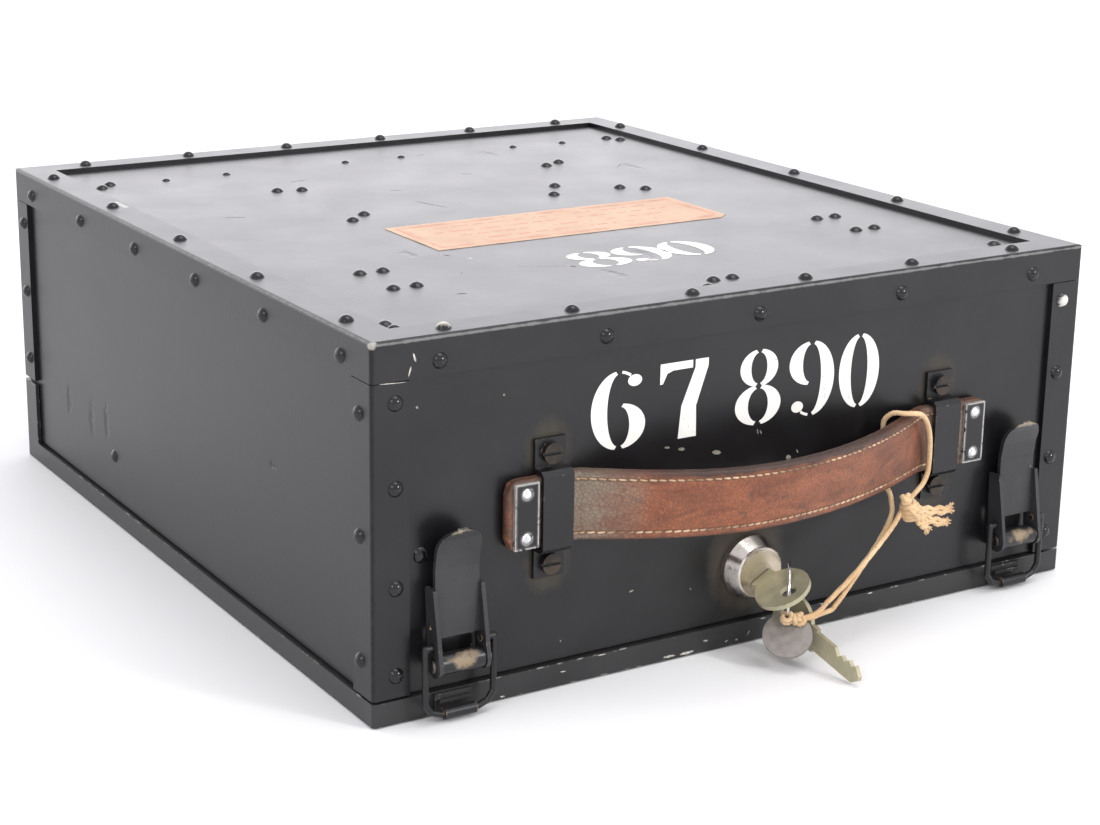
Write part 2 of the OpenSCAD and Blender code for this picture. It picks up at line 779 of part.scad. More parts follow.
// A flat key in its own plane: the bow on the origin, the blade along X
module flat_key() {
    bow = bow_d / 2;
    neck = bow_out - gap;
    shoulder = 1.2;
    tip = neck + blade_len;
    h = blade_w / 2;
    linear_extrude(key_t, center = true) difference() {
        union() {
            circle(bow);
            translate([bow - 3, -h - shoulder]) square([neck - bow + 3, blade_w + 2 * shoulder]);
            polygon([[neck - 1, -h], [tip - 3, -h], [tip, -h + 2.6], [tip, 0.2], [tip - 1.6, h - 2],
                [tip - 3.4, h - 0.4], [tip - 5, h - 1.8], [tip - 7, h - 0.2], [tip - 9, h - 2.2],
                [tip - 11, h - 0.8], [tip - 13, h - 2.4], [tip - 15.5, h], [neck - 1, h]]);
        }
        translate([-bow_hole_in, 0]) circle(d = bow_hole_d);
    }
}

bow_hole_in = bow_hole_out - bow_out;
lock_key_at = [0, plug_front - bow_out, plug_z];
keyway = [cos(key_angle), 0, sin(key_angle)];

module lock_key() {
    color([0.55, 0.53, 0.4]) multmatrix(frame_at(lock_key_at, [0, 1, 0], keyway)) flat_key();
}

// A point of the key ring's wire, at angle a from its horizontal
ring_dir = [cos(ring_turn), sin(ring_turn), 0];
function ring_point(a) = ring_at + ring_d / 2 * (cos(a) * ring_dir + [0, 0, sin(a)]);
tag_on = -135;
spare_on = -72;
tag_fall = [-0.43, -0.61, -0.66];
tag_side = [-0.79, 0.61, -0.05];
spare_dir = [0.045, -0.968, -0.232];
spare_up = [0.125, -0.243, 0.962];

module key_ring() {
    color([0.75, 0.75, 0.76]) translate(ring_at) rotate([90, 0, ring_turn])
        rotate_extrude() translate([ring_d / 2, 0]) circle(d = ring_wire);
    color([0.5, 0.49, 0.48]) multmatrix(frame_at(ring_point(tag_on), tag_fall, tag_side))
        linear_extrude(tag_t, center = true) difference() {
            translate([tag_d / 2 - tag_hole_in, 0]) circle(d = tag_d);
            circle(d = tag_hole_d);
        }
}

module spare_key() {
    color([0.55, 0.53, 0.4]) multmatrix(frame_at(ring_point(spare_on), spare_dir, spare_up))
        translate([bow_hole_in, 0, 0]) flat_key();
}

// ---- string ----

// Route as [x, distance in front of the front plane, z]: up one strand, round the strap,
// down the other
string_route = [[19, 24, 20.5], [27, 23.5, 25.5], [35, 22.5, 30.5], [43, 21, 35.5], [50.5, 19, 40],
    [57, 17.3, 44.5], [62, 15.8, 49], [66, 14.6, 51.8], [72, 11.6, 53.2], [78, 8.8, 55],
    [81.6, 7.2, 58.5], [82.8, 6.4, 63], [82.6, 6.6, 68], [81.4, 7.6, 73], [79, 9.2, 78],
    [75.5, 11.2, 82.5], [71.5, 12.8, 85.8], [67.5, 13.4, 87], [64, 11.4, 87], [61.2, 7.6, 86.5],
    [59.2, 5.1, 83.2], [59.2, 5, 78], [59.2, 5, 72], [59.2, 5, 66], [59.6, 5.2, 60],
    [60.4, 6.2, 56.5], [61, 8.6, 54.2], [60.4, 11, 50.5], [59.2, 12.8, 47], [55.5, 14.5, 42.5],
    [49, 17, 37.3], [42, 19, 32], [35, 21, 27], [28, 23, 22], [22, 24, 17.3]];
string_points = [for (p = string_route) [p.x, front_y - p.y, p.z]];

// One closed tube of diameter d swept along the points, with n sides
module tube(pts, d, n) {
    last = len(pts) - 1;
    turn = [for (i = [0:last]) unit(pts[min(i + 1, last)] - pts[max(i - 1, 0)])];
    rings = [for (i = [0:last]) let (u = unit(cross(turn[i], [1, 0, 0])), w = cross(turn[i], u))
        for (k = [0:n - 1]) pts[i] + d / 2 * (cos(360 * k / n) * u + sin(360 * k / n) * w)];
    walls = [for (i = [0:last - 1], k = [0:n - 1])
        let (a = i * n + k, b = i * n + (k + 1) % n)
        for (f = [[a, b, a + n], [b, b + n, a + n]]) f];
    near = [for (k = [1:n - 2]) [0, k + 1, k]];
    far = [for (k = [1:n - 2]) [last * n, last * n + k, last * n + k + 1]];
    polyhedron(rings, concat(walls, near, far));
}

module tie_string() {
    color([0.85, 0.68, 0.45]) tube(string_points, string_d, 8);
}

// ---- tray ----

catch_out = roller_d / 2;

module latch_catches() {
    reach = pivot_out - catch_out - 2 * gap;
    ledge_z = roller_z + roller_d / 2 + gap;
    ledge_t = 1.4;
    for (s = [-1, 1]) translate([s * latch_span / 2, 0, 0]) translate([0, front_y, 0]) {
        box([-catch_w / 2, -1.5, 0.5], [catch_w / 2, 0.5, rim_h - 0.5]);
        box([-catch_w / 2 + 1, -reach, ledge_z], [catch_w / 2 - 1, 0, ledge_z + ledge_t]);
    }
}

// A post and a ledge that the lock's cam turns under
module lock_keeper() {
    ledge_z = plug_z + cam_w / 2 + 2 * gap;
    ledge_t = 2;
    post_t = 2.5;
    foot_l = 10;
    foot_t = 1.5;
    y0 = lock_tail_y - 2;
    y1 = lock_tail_y + cam_t + 3;
    post_x = cam_len + 2;
    foot_z = floor_t + joint;
    box([-post_x - post_t, y0, foot_z], [-post_x, y1, ledge_z]);
    box([-post_x - foot_l, y0, foot_z], [-post_x, y1, foot_z + foot_t]);
    box([-post_x - post_t, y0, ledge_z + joint], [-barrel_body_d / 2 - 3, y1, ledge_z + joint + ledge_t]);
}

// Lower part of a rear corner strip, which stays on the tray when the hood opens
module rear_corner(s, top, side_t) {
    intersection() {
        translate([0, 0, floor_t]) linear_extrude(top - floor_t) round_rect(case_w, case_d, edge_r);
        translate([s * (half_w - flange_w / 2), 0, 0]) difference() {
            box([-flange_w / 2, back_y - flange_w, floor_t], [flange_w / 2, back_y, top]);
            translate([-s * side_t, -strip_t, 0])
                box([-flange_w / 2, back_y - 2 * flange_w, 0], [flange_w / 2, back_y, top + cut]);
        }
    }
}

module base_tray() {
    lip_x = panel_x - panel_t - 2 * gap;
    lip_y = panel_y - panel_t - 2 * gap;
    wall_y = panel_y - panel_t;
    wall_top = hinge_z - split_gap;
    strip_in = strip_t - gap;
    leaf_x = hinge_span / 2 + hinge_len / 2;
    color([0.12, 0.12, 0.13]) difference() {
        union() {
            difference() {
                union() {
                    linear_extrude(rim_h) round_rect(case_w, case_d, edge_r);
                    box([-lip_x, -lip_y, floor_t], [lip_x, wall_y, rim_h + lip_h]);
                }
                box([-lip_x + lip_t, -lip_y + lip_t, floor_t], [lip_x - lip_t, wall_y, case_h]);
            }
            box([-panel_x + gap, wall_y, floor_t], [panel_x - gap, panel_y, wall_top]);
            for (s = [-1, 1]) rear_corner(s, wall_top, strip_in);
            box([-leaf_x, back_y - strip_t, wall_top - leaf_h], [leaf_x, back_y, wall_top]);
            rear_knuckles(0);
            latch_catches();
        }
        rear_pin_bores();
    }
    color([0.12, 0.12, 0.13]) lock_keeper();
}

// ---- machine ----

bulkhead_x = stack_half + gap;

module bulkhead_outline() {
    foot = 34;
    head = axle_d / 2 + 6;
    translate([0, axle_z]) circle(head);
    low = floor_t + wall_t + joint;
    polygon([[-foot, low], [foot, low], [head, axle_z], [-head, axle_z]]);
}

// An open box, and in it the two bulkheads that bear the wheels' axle
module machine_housing() {
    half = body_w / 2;
    color([0.3, 0.32, 0.31]) {
        difference() {
            box([-half, body_front, floor_t], [half, body_back, body_h]);
            box([-half + wall_t, body_front + wall_t, floor_t + wall_t],
                [half - wall_t, body_back - wall_t, body_h + cut]);
        }
        for (s = [-1, 1]) translate([s * (bulkhead_x + cheek_t / 2) - cheek_t / 2, axle_y, 0]) difference() {
            rotate([90, 0, 90]) linear_extrude(cheek_t) bulkhead_outline();
            translate([-cut, 0, axle_z]) rotate([0, 90, 0])
                cylinder(d = axle_d + 2 * run, h = cheek_t + 2 * cut);
        }
    }
}

function row_of(c, r = 0) = len(search(c, rows[r])) > 0 ? r : row_of(c, r + 1);
// Place of letter c in its row, from the middle
function key_x(c) = let (r = rows[row_of(c)]) (search(c, r)[0] - (len(r) - 1) / 2) * key_pitch;
key_letters = "QWERTZUIOASDFGHJKPYXCVBNML";
knob_at = [body_w / 2 - 22, lamp_row_y - 53];
knob_d = 24;
knob_h = 12;
knob_shaft_d = 6;

module lamp_places() {
    for (c = key_letters) translate([key_x(c), lamp_row_y - row_of(c) * row_pitch, deck_z]) children();
}

module deck_plate() {
    boss_h = 1.2;
    window_d = 13;
    half = body_w / 2;
    color([0.22, 0.24, 0.23]) difference() {
        union() {
            box([-half, body_front, body_h], [half, deck_back, deck_z]);
            lamp_places() cylinder(d = window_d + 5, h = boss_h);
            translate([knob_at.x, knob_at.y, deck_z]) cylinder(d = knob_d + 6, h = boss_h);
        }
        lamp_places() translate([0, 0, -deck_t * 0.4]) cylinder(d = window_d, h = deck_t);
        for (c = key_letters) translate([key_x(c), key_row_y - row_of(c) * row_pitch, body_h - cut])
            cylinder(d = stem_d + 2 * run, h = deck_t + 2 * cut);
        translate([knob_at.x, knob_at.y, body_h - cut])
            cylinder(d = knob_shaft_d + 2 * run, h = deck_t + boss_h + 2 * cut);
    }
}

module selector_knob() {
    skirt_h = 2.5;
    flutes = 12;
    knob_z = deck_z + 1.2 + gap;
    color([0.1, 0.1, 0.1]) translate([knob_at.x, knob_at.y, knob_z]) {
        cylinder(d = knob_d, h = skirt_h);
        translate([0, 0, skirt_h - cut / 2]) linear_extrude(knob_h - skirt_h) difference() {
            circle(d = knob_d - 4);
            for (i = [0:flutes - 1]) rotate(i * 360 / flutes) translate([knob_d / 2 - 0.6, 0])
                circle(d = 3.4);
        }
        translate([-1.5, 0, knob_h - cut / 2]) cube([3, knob_d / 2 - 3, 1.6]);
        translate([0, 0, -14]) cylinder(d = knob_shaft_d, h = 14 + cut);
    }
}

// One key: a dished cap on a round stem, held down by a collar under the deck
module key(c) {
    bevel = 1;
    r = cap_d / 2;
    dish_r = 16;
    color([0.9, 0.88, 0.8]) translate([key_x(c), key_row_y - row_of(c) * row_pitch, 0]) difference() {
        union() {
            translate([0, 0, cap_z]) rotate_extrude()
                polygon([[0, 0], [r - bevel, 0], [r, bevel], [r, cap_h - bevel], [r - bevel, cap_h],
                    [0, cap_h]]);
            translate([0, 0, body_h - 14]) cylinder(d = stem_d, h = cap_z - body_h + 15);
            translate([0, 0, body_h - gap - 1.6]) cylinder(d = stem_d + 3, h = 1.6);
        }
        translate([0, 0, cap_z + cap_h + dish_r - 1.2]) sphere(dish_r);
    }
}

// Section of the wheel cover: a low hood with a sloping front and a chamfered back
module cover_section(inset) {
    brow = 20;
    slope = 28;
    rear = 26;
    front_h = 20;
    back_h = 24;
    y0 = deck_back + gap + inset;
    y1 = body_back - inset;
    low = body_h - (inset > 0 ? cut : 0);
    top = cover_top - inset;
    polygon([[y0, low], [y0, body_h + brow], [y0 + brow, top - 6], [y0 + slope, top], [y1 - rear, top],
        [y1 - rear * 0.4, top - 8], [y1, body_h + back_h], [y1, low]]);
}

module wheel_cover() {
    half = body_w / 2;
    slot_w = thumb_w + 1.6;
    slot_l = 60;
    color([0.2, 0.21, 0.21]) difference() {
        translate([-half, 0, 0]) rotate([90, 0, 90]) linear_extrude(body_w) cover_section(0);
        translate([-half + cover_t, 0, 0]) rotate([90, 0, 90]) linear_extrude(body_w - 2 * cover_t)
            cover_section(cover_t);
        for (x = spaced(wheels, wheel_pitch))
            box([x - slot_w / 2, axle_y - slot_l / 2, cover_top - 2 * cover_t],
                [x + slot_w / 2, axle_y + slot_l / 2, cover_top + cut]);
    }
}

module wheel_axle() {
    collar = 3;
    outer = bulkhead_x + cheek_t + gap;
    color([0.62, 0.62, 0.63]) translate([0, axle_y, axle_z]) rotate([0, 90, 0]) {
        translate([0, 0, -outer - collar - 2]) cylinder(d = axle_d, h = 2 * (outer + collar + 2));
        for (s = [-1, 1]) translate([0, 0, s * (outer + collar / 2) - collar / 2])
            cylinder(d = axle_d + 6, h = collar);
    }
}

// Outline of the thumb rim: flat teeth with sloping sides
module thumb_outline() {
    r = wheel_d / 2;
    root = r - 2.4;
    step = 360 / thumb_teeth;
    polygon([for (i = [0:thumb_teeth - 1]) for (p = [[-0.34, root], [-0.2, r], [0.2, r], [0.34, root]])
        let (a = (i + p.x) * step) p.y * [cos(a), sin(a)]]);
}

// One cipher wheel on its hub: web, drum, thumb rim and a ring of contact studs
module wheel(i) {
    x = spaced(wheels, wheel_pitch)[i];
    hub_d = 20;
    web_t = 4;
    drum_w = 14;
    drum_wall = 4;
    stud_r = drum_d / 2 - drum_wall - 3.5;
    color([0.55, 0.5, 0.4]) translate([x, axle_y, axle_z]) rotate([0, 90, 0]) difference() {
        union() {
            cylinder(d = hub_d, h = wheel_pitch - gap, center = true);
            cylinder(d = drum_d, h = web_t, center = true);
            difference() {
                cylinder(d = drum_d, h = drum_w, center = true);
                cylinder(d = drum_d - 2 * drum_wall, h = drum_w + cut, center = true);
            }
            linear_extrude(thumb_w, center = true) thumb_outline();
            for (k = [0:thumb_teeth - 1]) rotate(k * 360 / thumb_teeth)
                translate([stud_r, 0, 0]) cylinder(d = 2.4, h = drum_w / 2 + 1);
        }
        cylinder(d = axle_d + 2 * run, h = wheel_pitch + cut, center = true);
    }
}

base_tray();
machine_housing();
deck_plate();
wheel_cover();
wheel_axle();
selector_knob();
hood_panels();
hood_edge_angles();
hood_rivets();
hinge_pins();
handle_bridges();
handle_strap();
strap_stop_plates();
latch_brackets();
latch_lever_left();
latch_lever_right();
latch_bail_left();
latch_bail_right();
lock_barrel();
lock_plug();
lock_key();
key_ring();
spare_key();
tie_string();
for (c = key_letters) key(c);
for (i = [0:wheels - 1]) wheel(i);
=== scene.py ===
import math
import random
import bpy
import bmesh
from mathutils import Matrix, Vector


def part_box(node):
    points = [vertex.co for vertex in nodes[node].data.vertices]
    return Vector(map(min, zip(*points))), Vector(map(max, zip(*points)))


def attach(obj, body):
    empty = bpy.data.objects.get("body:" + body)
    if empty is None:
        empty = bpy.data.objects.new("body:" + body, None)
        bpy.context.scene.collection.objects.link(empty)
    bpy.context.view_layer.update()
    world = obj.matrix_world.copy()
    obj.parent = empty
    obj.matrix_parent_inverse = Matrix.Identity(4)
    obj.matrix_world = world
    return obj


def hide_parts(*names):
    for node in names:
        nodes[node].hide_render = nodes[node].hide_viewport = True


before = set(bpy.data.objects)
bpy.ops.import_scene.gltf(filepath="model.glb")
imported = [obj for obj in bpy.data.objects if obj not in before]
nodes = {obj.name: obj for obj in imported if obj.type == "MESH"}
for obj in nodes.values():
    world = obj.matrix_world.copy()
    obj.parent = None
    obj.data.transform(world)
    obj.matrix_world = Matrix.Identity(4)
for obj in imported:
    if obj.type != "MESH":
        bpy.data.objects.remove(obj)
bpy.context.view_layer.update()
scene = bpy.context.scene
scene.view_settings.view_transform = "Standard"
mm = 0.001
fullTurn = 2 * math.pi
stripFront, panelFront, panelTop = -183.0, -181.0, 140.0  # faces of the case, in mm
random.seed(7)


def linkNew(name, data):
    obj = bpy.data.objects.new(name, data)
    scene.collection.objects.link(obj)
    return obj


# camera

cameraLook = {"place": (-0.4993, -0.8299, 0.3378), "forward": (0.49271799, 0.82695745, -0.27086964),
    "right": (0.86044595, -0.50944661, 0.00984431), "lens": 72.80, "sensor": 36,
    "shift": (0.04545, -0.03864), "clip": (0.05, 30)}


def makeCamera(look):
    data = bpy.data.cameras.new("camera")
    data.lens, data.sensor_width = look["lens"], look["sensor"]
    data.shift_x, data.shift_y = look["shift"]
    data.clip_start, data.clip_end = look["clip"]
    camera = linkNew("camera", data)
    forward, right = Vector(look["forward"]).normalized(), Vector(look["right"]).normalized()
    turn = Matrix((right, right.cross(forward), -forward)).transposed().to_4x4()
    camera.matrix_world = Matrix.Translation(look["place"]) @ turn
    scene.camera = camera


makeCamera(cameraLook)
print("camera placed")

# mesh helpers


def addMesh(name, points, faces, smooth=False):
    mesh = bpy.data.meshes.new(name)
    mesh.from_pydata([tuple(p) for p in points], [], faces)
    mesh.validate()
    mesh.update()
    if smooth:
        mesh.polygons.foreach_set("use_smooth", [True] * len(mesh.polygons))
    return linkNew(name, mesh)


def reworked(obj, change):
    work = bmesh.new()
    work.from_mesh(obj.data)
    change(work)
    work.to_mesh(obj.data)
    work.free()
    return obj


def outward(obj):
    return reworked(obj, lambda work: bmesh.ops.recalc_face_normals(work, faces=work.faces))


def upward(obj):
    return reworked(obj, lambda work: bmesh.ops.reverse_faces(work,
        faces=[face for face in work.faces if face.normal.z < 0]))


def gathered(parts):
    points, faces = [], []
    for p, f in parts:
        base = len(points)
        points += p
        faces += [tuple(i + base for i in face) for face in f]
    return points, faces


def joinParts(name, parts, smooth=True):
    return outward(addMesh(name, *gathered(parts), smooth))


def plate(rim, onto, thick):
    n = len(rim)
    points = [onto(u, v, lift) for lift in (0.0, thick) for u, v in rim]
    sides = [(k, (k + 1) % n, n + (k + 1) % n, n + k) for k in range(n)]
    return points, [tuple(range(n, 2 * n)), tuple(range(n - 1, -1, -1))] + sides


def tubeFaces(rings, sides):
    faces = []
    for i in range(rings - 1):
        for k in range(sides):
            a, b = i * sides + k, i * sides + (k + 1) % sides
            faces.append((a, b, b + sides, a + sides))
    faces.append(tuple(range(sides - 1, -1, -1)))
    faces.append(tuple((rings - 1) * sides + k for k in range(sides)))
    return faces


def dress(obj, material, body):
    obj.data.materials.clear()
    obj.data.materials.append(material)
    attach(obj, body)
    return obj


def smoothPath(points, steps):
    line = [Vector(p) for p in points]
    line = [line[0] * 2 - line[1]] + line + [line[-1] * 2 - line[-2]]
    out = []
    for i in range(1, len(line) - 2):
        a, b, c, d = line[i - 1:i + 3]
        for k in range(steps):
            t = k / steps
            out.append(0.5 * ((2 * b) + (c - a) * t + (2 * a - 5 * b + 4 * c - d) * t * t
                + (3 * b - a - 3 * c + d) * t ** 3))
    out.append(line[-2])
    return out


def twistedTube(line, radius, sides, lobes, depth, twist, taper=None):
    points = []
    travelled = 0.0
    side = None
    for i, p in enumerate(line):
        ahead = (line[min(i + 1, len(line) - 1)] - line[max(i - 1, 0)]).normalized()
        if side is None:
            side = ahead.orthogonal().normalized()
        side = (side - ahead * side.dot(ahead)).normalized()
        other = ahead.cross(side)
        if i:
            travelled += (p - line[i - 1]).length
        size = radius * (taper(i / (len(line) - 1)) if taper else 1)
        for k in range(sides):
            a = fullTurn * k / sides
            lobe = abs(math.cos(lobes / 2 * (a - fullTurn * travelled / twist)))
            r = size * (1 - depth + depth * lobe * 1.6)
            points.append(p + (math.cos(a) * side + math.sin(a) * other) * r)
    return points, tubeFaces(len(line), sides)


def thinTube(line, thick, *shape):  # the same from a line in mm
    return twistedTube([p * mm for p in line], thick * mm, *shape)


# shader helpers


def feed(tree, socket, value):
    if isinstance(value, bpy.types.NodeSocket):
        tree.links.new(value, socket)
    else:
        socket.default_value = value


def place(tree, kind, inputs=None, **settings):
    node = tree.nodes.new("ShaderNode" + kind)
    for key, value in settings.items():
        setattr(node, key, value)
    for key, value in (inputs or {}).items():
        feed(tree, node.inputs[key], value)
    return node


def objectSpace(tree):
    return place(tree, "TexCoord").outputs["Object"]


def calc(tree, operation, a, b=0.0, clamp=False):
    node = place(tree, "Math", {0: a, 1: b}, operation=operation)
    node.use_clamp = clamp
    return node.outputs[0]


def plus(tree, a, b, clamp=False):
    return calc(tree, "ADD", a, b, clamp)


def minus(tree, a, b):
    return calc(tree, "SUBTRACT", a, b)


def times(tree, a, b):
    return calc(tree, "MULTIPLY", a, b)


def vectorMath(tree, operation, a, b=(0, 0, 0)):
    return place(tree, "VectorMath", {0: a, 1: b}, operation=operation).outputs


def blendColor(tree, mask, a, b):
    node = place(tree, "Mix", data_type="RGBA")
    for socket, value in ((0, mask), (6, a), (7, b)):
        feed(tree, node.inputs[socket], value + (1,) if isinstance(value, tuple) else value)
    return node.outputs[2]


def spread(tree, value, low, high, start=0.0, end=1.0):
    node = place(tree, "MapRange", {"Value": value, "From Min": low, "From Max": high, "To Min": start,
        "To Max": end}, clamp=True)
    return node.outputs["Result"]


def toned(tree, value, low, high, a, b):
    return blendColor(tree, spread(tree, value, low, high), a, b)


def noise(tree, scale, detail=3.0, rough=0.55, vector=None, warp=0.0):
    return place(tree, "TexNoise", {"Vector": vector or objectSpace(tree), "Scale": scale, "Detail": detail,
        "Roughness": rough, "Distortion": warp}).outputs["Fac"]


def shifted(tree, value, cloud, amount):  # moves a limit about by a noise
    return plus(tree, value, times(tree, minus(tree, cloud, 0.5), amount))


def newGroup(name, inputs, outputs):
    group = bpy.data.node_groups.new(name, "ShaderNodeTree")
    for label, kind, value in inputs:
        socket = group.interface.new_socket(label, in_out="INPUT", socket_type="NodeSocket" + kind)
        socket.default_value = value
    for label in outputs:
        group.interface.new_socket(label, in_out="OUTPUT", socket_type="NodeSocketFloat")
    given = group.nodes.new("NodeGroupInput").outputs
    return group, given, group.nodes.new("NodeGroupOutput").inputs


def use(tree, group, **inputs):
    return place(tree, "Group", inputs, node_tree=group).outputs


def newMaterial(name, **constants):
    material = bpy.data.materials.new(name)
    material.use_nodes = True
    tree = material.node_tree
    tree.nodes.clear()
    skin = place(tree, "BsdfPrincipled", {key.replace("_", " "): value for key, value in constants.items()})
    place(tree, "OutputMaterial", {0: skin.outputs[0]})
    return material, tree


def coat(material, colour, rough, height=None, strength=0.0, distance=0.0002):
    tree = material.node_tree
    skin = tree.nodes["Principled BSDF"]
    feed(tree, skin.inputs["Base Color"], colour)
    feed(tree, skin.inputs["Roughness"], rough)
    if height is not None:
        bump = place(tree, "Bump", {"Strength": strength, "Distance": distance, "Height": height})
        tree.links.new(bump.outputs[0], skin.inputs["Normal"])
    return material


def twoTone(name, grain, dark, light, rough, limits=None, **constants):
    material, tree = newMaterial(name, **constants)
    tone = noise(tree, *grain)
    colour = blendColor(tree, spread(tree, tone, *limits) if limits else tone, dark, light)
    return coat(material, colour, spread(tree, tone, 0.3, 0.7, *rough))


# effects that several finishes share


def makeEdgeWear():
    tree, given, out = newGroup("edge wear",
        [("Reach", "Float", 0.001), ("Grain", "Float", 300.0), ("Amount", "Float", 0.5)], ["Mask"])
    bevel = place(tree, "Bevel", {"Radius": given["Reach"]}, samples=4)
    flat = place(tree, "NewGeometry").outputs["Normal"]
    edge = spread(tree, vectorMath(tree, "DOT_PRODUCT", bevel.outputs[0], flat)["Value"], 0.985, 0.86)
    limit = minus(tree, 1.0, given["Amount"])
    worn = spread(tree, noise(tree, given["Grain"], 5.0, 0.65), limit, plus(tree, limit, 0.06))
    feed(tree, out["Mask"], times(tree, edge, worn))
    return tree


def makeSpecks():
    tree, given, out = newGroup("scattered specks",
        [("Grain", "Float", 60.0), ("Size", "Float", 0.1), ("Amount", "Float", 0.1)], ["Mask"])
    where = objectSpace(tree)
    bent = place(tree, "TexNoise", {"Vector": where, "Scale": 900.0, "Detail": 2.0}).outputs["Color"]
    moved = vectorMath(tree, "ADD", where, vectorMath(tree, "MULTIPLY", bent, (0.003, 0.003, 0.003))[0])[0]
    cells = place(tree, "TexVoronoi", {"Vector": moved, "Scale": given["Grain"]}).outputs
    parts = place(tree, "SeparateColor", {"Color": cells["Color"]}).outputs
    chosen = calc(tree, "LESS_THAN", parts[0], given["Amount"])
    near = calc(tree, "LESS_THAN", cells["Distance"], times(tree, given["Size"], parts[1]))
    feed(tree, out["Mask"], times(tree, chosen, near))
    return tree


def makeHalo():
    tree, given, out = newGroup("halo", [("Centre", "Vector", (0, 0, 0)), ("Shape", "Vector", (1, 1, 1)),
        ("Inner", "Float", 0.004), ("Outer", "Float", 0.01), ("Ragged", "Float", 0.006)], ["Mask"])
    away = vectorMath(tree, "SUBTRACT", objectSpace(tree), given["Centre"])[0]
    far = vectorMath(tree, "LENGTH", vectorMath(tree, "MULTIPLY", away, given["Shape"])[0])["Value"]
    ragged = shifted(tree, far, noise(tree, 260.0, 4.0), given["Ragged"])
    feed(tree, out["Mask"], spread(tree, ragged, given["Outer"], given["Inner"]))
    return tree


def makeSkinGrain():
    tree, given, out = newGroup("skin grain", [("Fine", "Float", 900.0), ("Broad", "Float", 40.0)],
        ["Height", "Mottle"])
    fine = noise(tree, given["Fine"], 3.0, 0.6)
    broad = noise(tree, given["Broad"], 4.0, 0.6)
    feed(tree, out["Height"], plus(tree, fine, times(tree, broad, 0.15)))
    feed(tree, out["Mottle"], broad)
    return tree


edgeWear, specks, halo, skinGrain = makeEdgeWear(), makeSpecks(), makeHalo(), makeSkinGrain()
print("shared effects made")


def wornEdge(tree, reach, grain, amount):
    return use(tree, edgeWear, Reach=reach, Grain=grain, Amount=amount)["Mask"]


def spot(tree, centre, shape, inner, outer, ragged=0.006):
    return use(tree, halo, Centre=centre, Shape=shape, Inner=inner, Outer=outer, Ragged=ragged)["Mask"]


# painted sheet

paintLook = {"dark": (0.006, 0.006, 0.007), "light": (0.011, 0.011, 0.0125), "chip": (0.42, 0.40, 0.36),
    "rough": 0.32, "roughSpread": 0.05, "reach": 0.0011, "chipGrain": 210.0, "wear": 0.42,
    "speckGrain": 46.0, "speckSize": 0.11, "speckAmount": 0.035, "fine": 620.0, "broad": 34.0, "bump": 0.3}


def makePaint(name, look, halos=(), dents=(), **changes):
    look = {**look, **changes}
    material, tree = newMaterial(name, IOR=1.45)
    grain = use(tree, skinGrain, Fine=look["fine"], Broad=look["broad"])
    wear = wornEdge(tree, look["reach"], look["chipGrain"], look["wear"])
    chips = use(tree, specks, Grain=look["speckGrain"], Size=look["speckSize"],
        Amount=look["speckAmount"])["Mask"]
    bare = calc(tree, "MAXIMUM", wear, chips)
    half = look["roughSpread"] / 2
    rough = spread(tree, grain["Mottle"], 0.3, 0.7, look["rough"] - half, look["rough"] + half)
    rough = plus(tree, rough, times(tree, bare, 0.25), True)
    colour, haloDirtAndHighlight = toned(tree, grain["Mottle"], 0.38, 0.66, look["dark"], look["light"]), None
    # halos blend in dirt, chips and, on the frame, pale edge lines that are partly a painted highlight
    for centre, shape, inner, outer, tint, *ragged in halos:
        mask = spot(tree, centre, shape, inner, outer, *ragged)
        colour = blendColor(tree, mask, colour, tint)
        haloDirtAndHighlight = mask if haloDirtAndHighlight is None else calc(tree, "MAXIMUM", haloDirtAndHighlight, mask)
    if haloDirtAndHighlight is not None:
        rough = plus(tree, rough, times(tree, haloDirtAndHighlight, 0.3), True)
    height = minus(tree, times(tree, grain["Height"], 0.35), times(tree, bare, 1.2))
    for *where, deep in dents:
        height = minus(tree, height, times(tree, spot(tree, *where), deep))
    return coat(material, blendColor(tree, bare, colour, look["chip"]), rough, height, look["bump"], 0.0003)


# halos of dirt, chips, pale edge lines (partly worn paint, partly painted highlight) and a darker corner
# line are (centre, shape, inner, outer, colour, ragged), dents end with a depth
screwPlaces = [(x, z) for x in (-92, 92) for z in (49.8, 92.2)]
frontPlane = -0.1826
sheetHalos = [((x * mm, frontPlane, z * mm), (1.0, 0.2, 0.8), 0.0060, 0.0112, (0.040, 0.034, 0.024))
    for x, z in screwPlaces]
sheetHalos.append(((-0.001, frontPlane, 0.034), (1.0, 0.2, 0.85), 0.0125, 0.0195, (0.045, 0.036, 0.026)))
sheetDents = [((-0.163, y * mm, z * mm), (0.3, 1.0, 0.45), 0.0006, 0.0042, 6.0)
    for y, z in ((126, 42), (97, 40), (78, 44))]
sheetDents.append(((-0.163, -0.098, 0.074), (0.3, 1.0, 1.4), 0.0012, 0.0024, 8.0))
sheetDents += [((x * mm, y * mm, 0.1405), (1.0, 0.35, 0.2), 0.0003, 0.003, 4.0)
    for x, y in ((-84, -60), (0, -104), (-30, -128), (104, 60), (60, 120))]
# the pale rim colour paints the frame's top edges: partly worn paint, partly a painted highlight on the
# rounded edge
rimWearAndHighlight, everyWay = (0.15, 0.15, 0.147), (1, 1, 1)
frameHalos = [((0, -0.1828, 0.1410), (0, 1, 1), 0.0002, 0.0006, rimWearAndHighlight, 0.0012),
    ((-0.1646, 0, 0.1416), (1, 0, 1), 0.0001, 0.0005, rimWearAndHighlight, 0.0012),
    ((-0.1646, frontPlane, 0), (1, 1, 0), 0.0003, 0.0010, (0.003, 0.003, 0.003), 0.002),
    ((-0.1642, -0.1827, 0.1414), everyWay, 0.0002, 0.0018, (0.34, 0.33, 0.29), 0.009),
    ((-0.153, 0.077, 0.142), (1, 0.32, 1), 0.0002, 0.0024, (0.55, 0.55, 0.54), 0.008)]
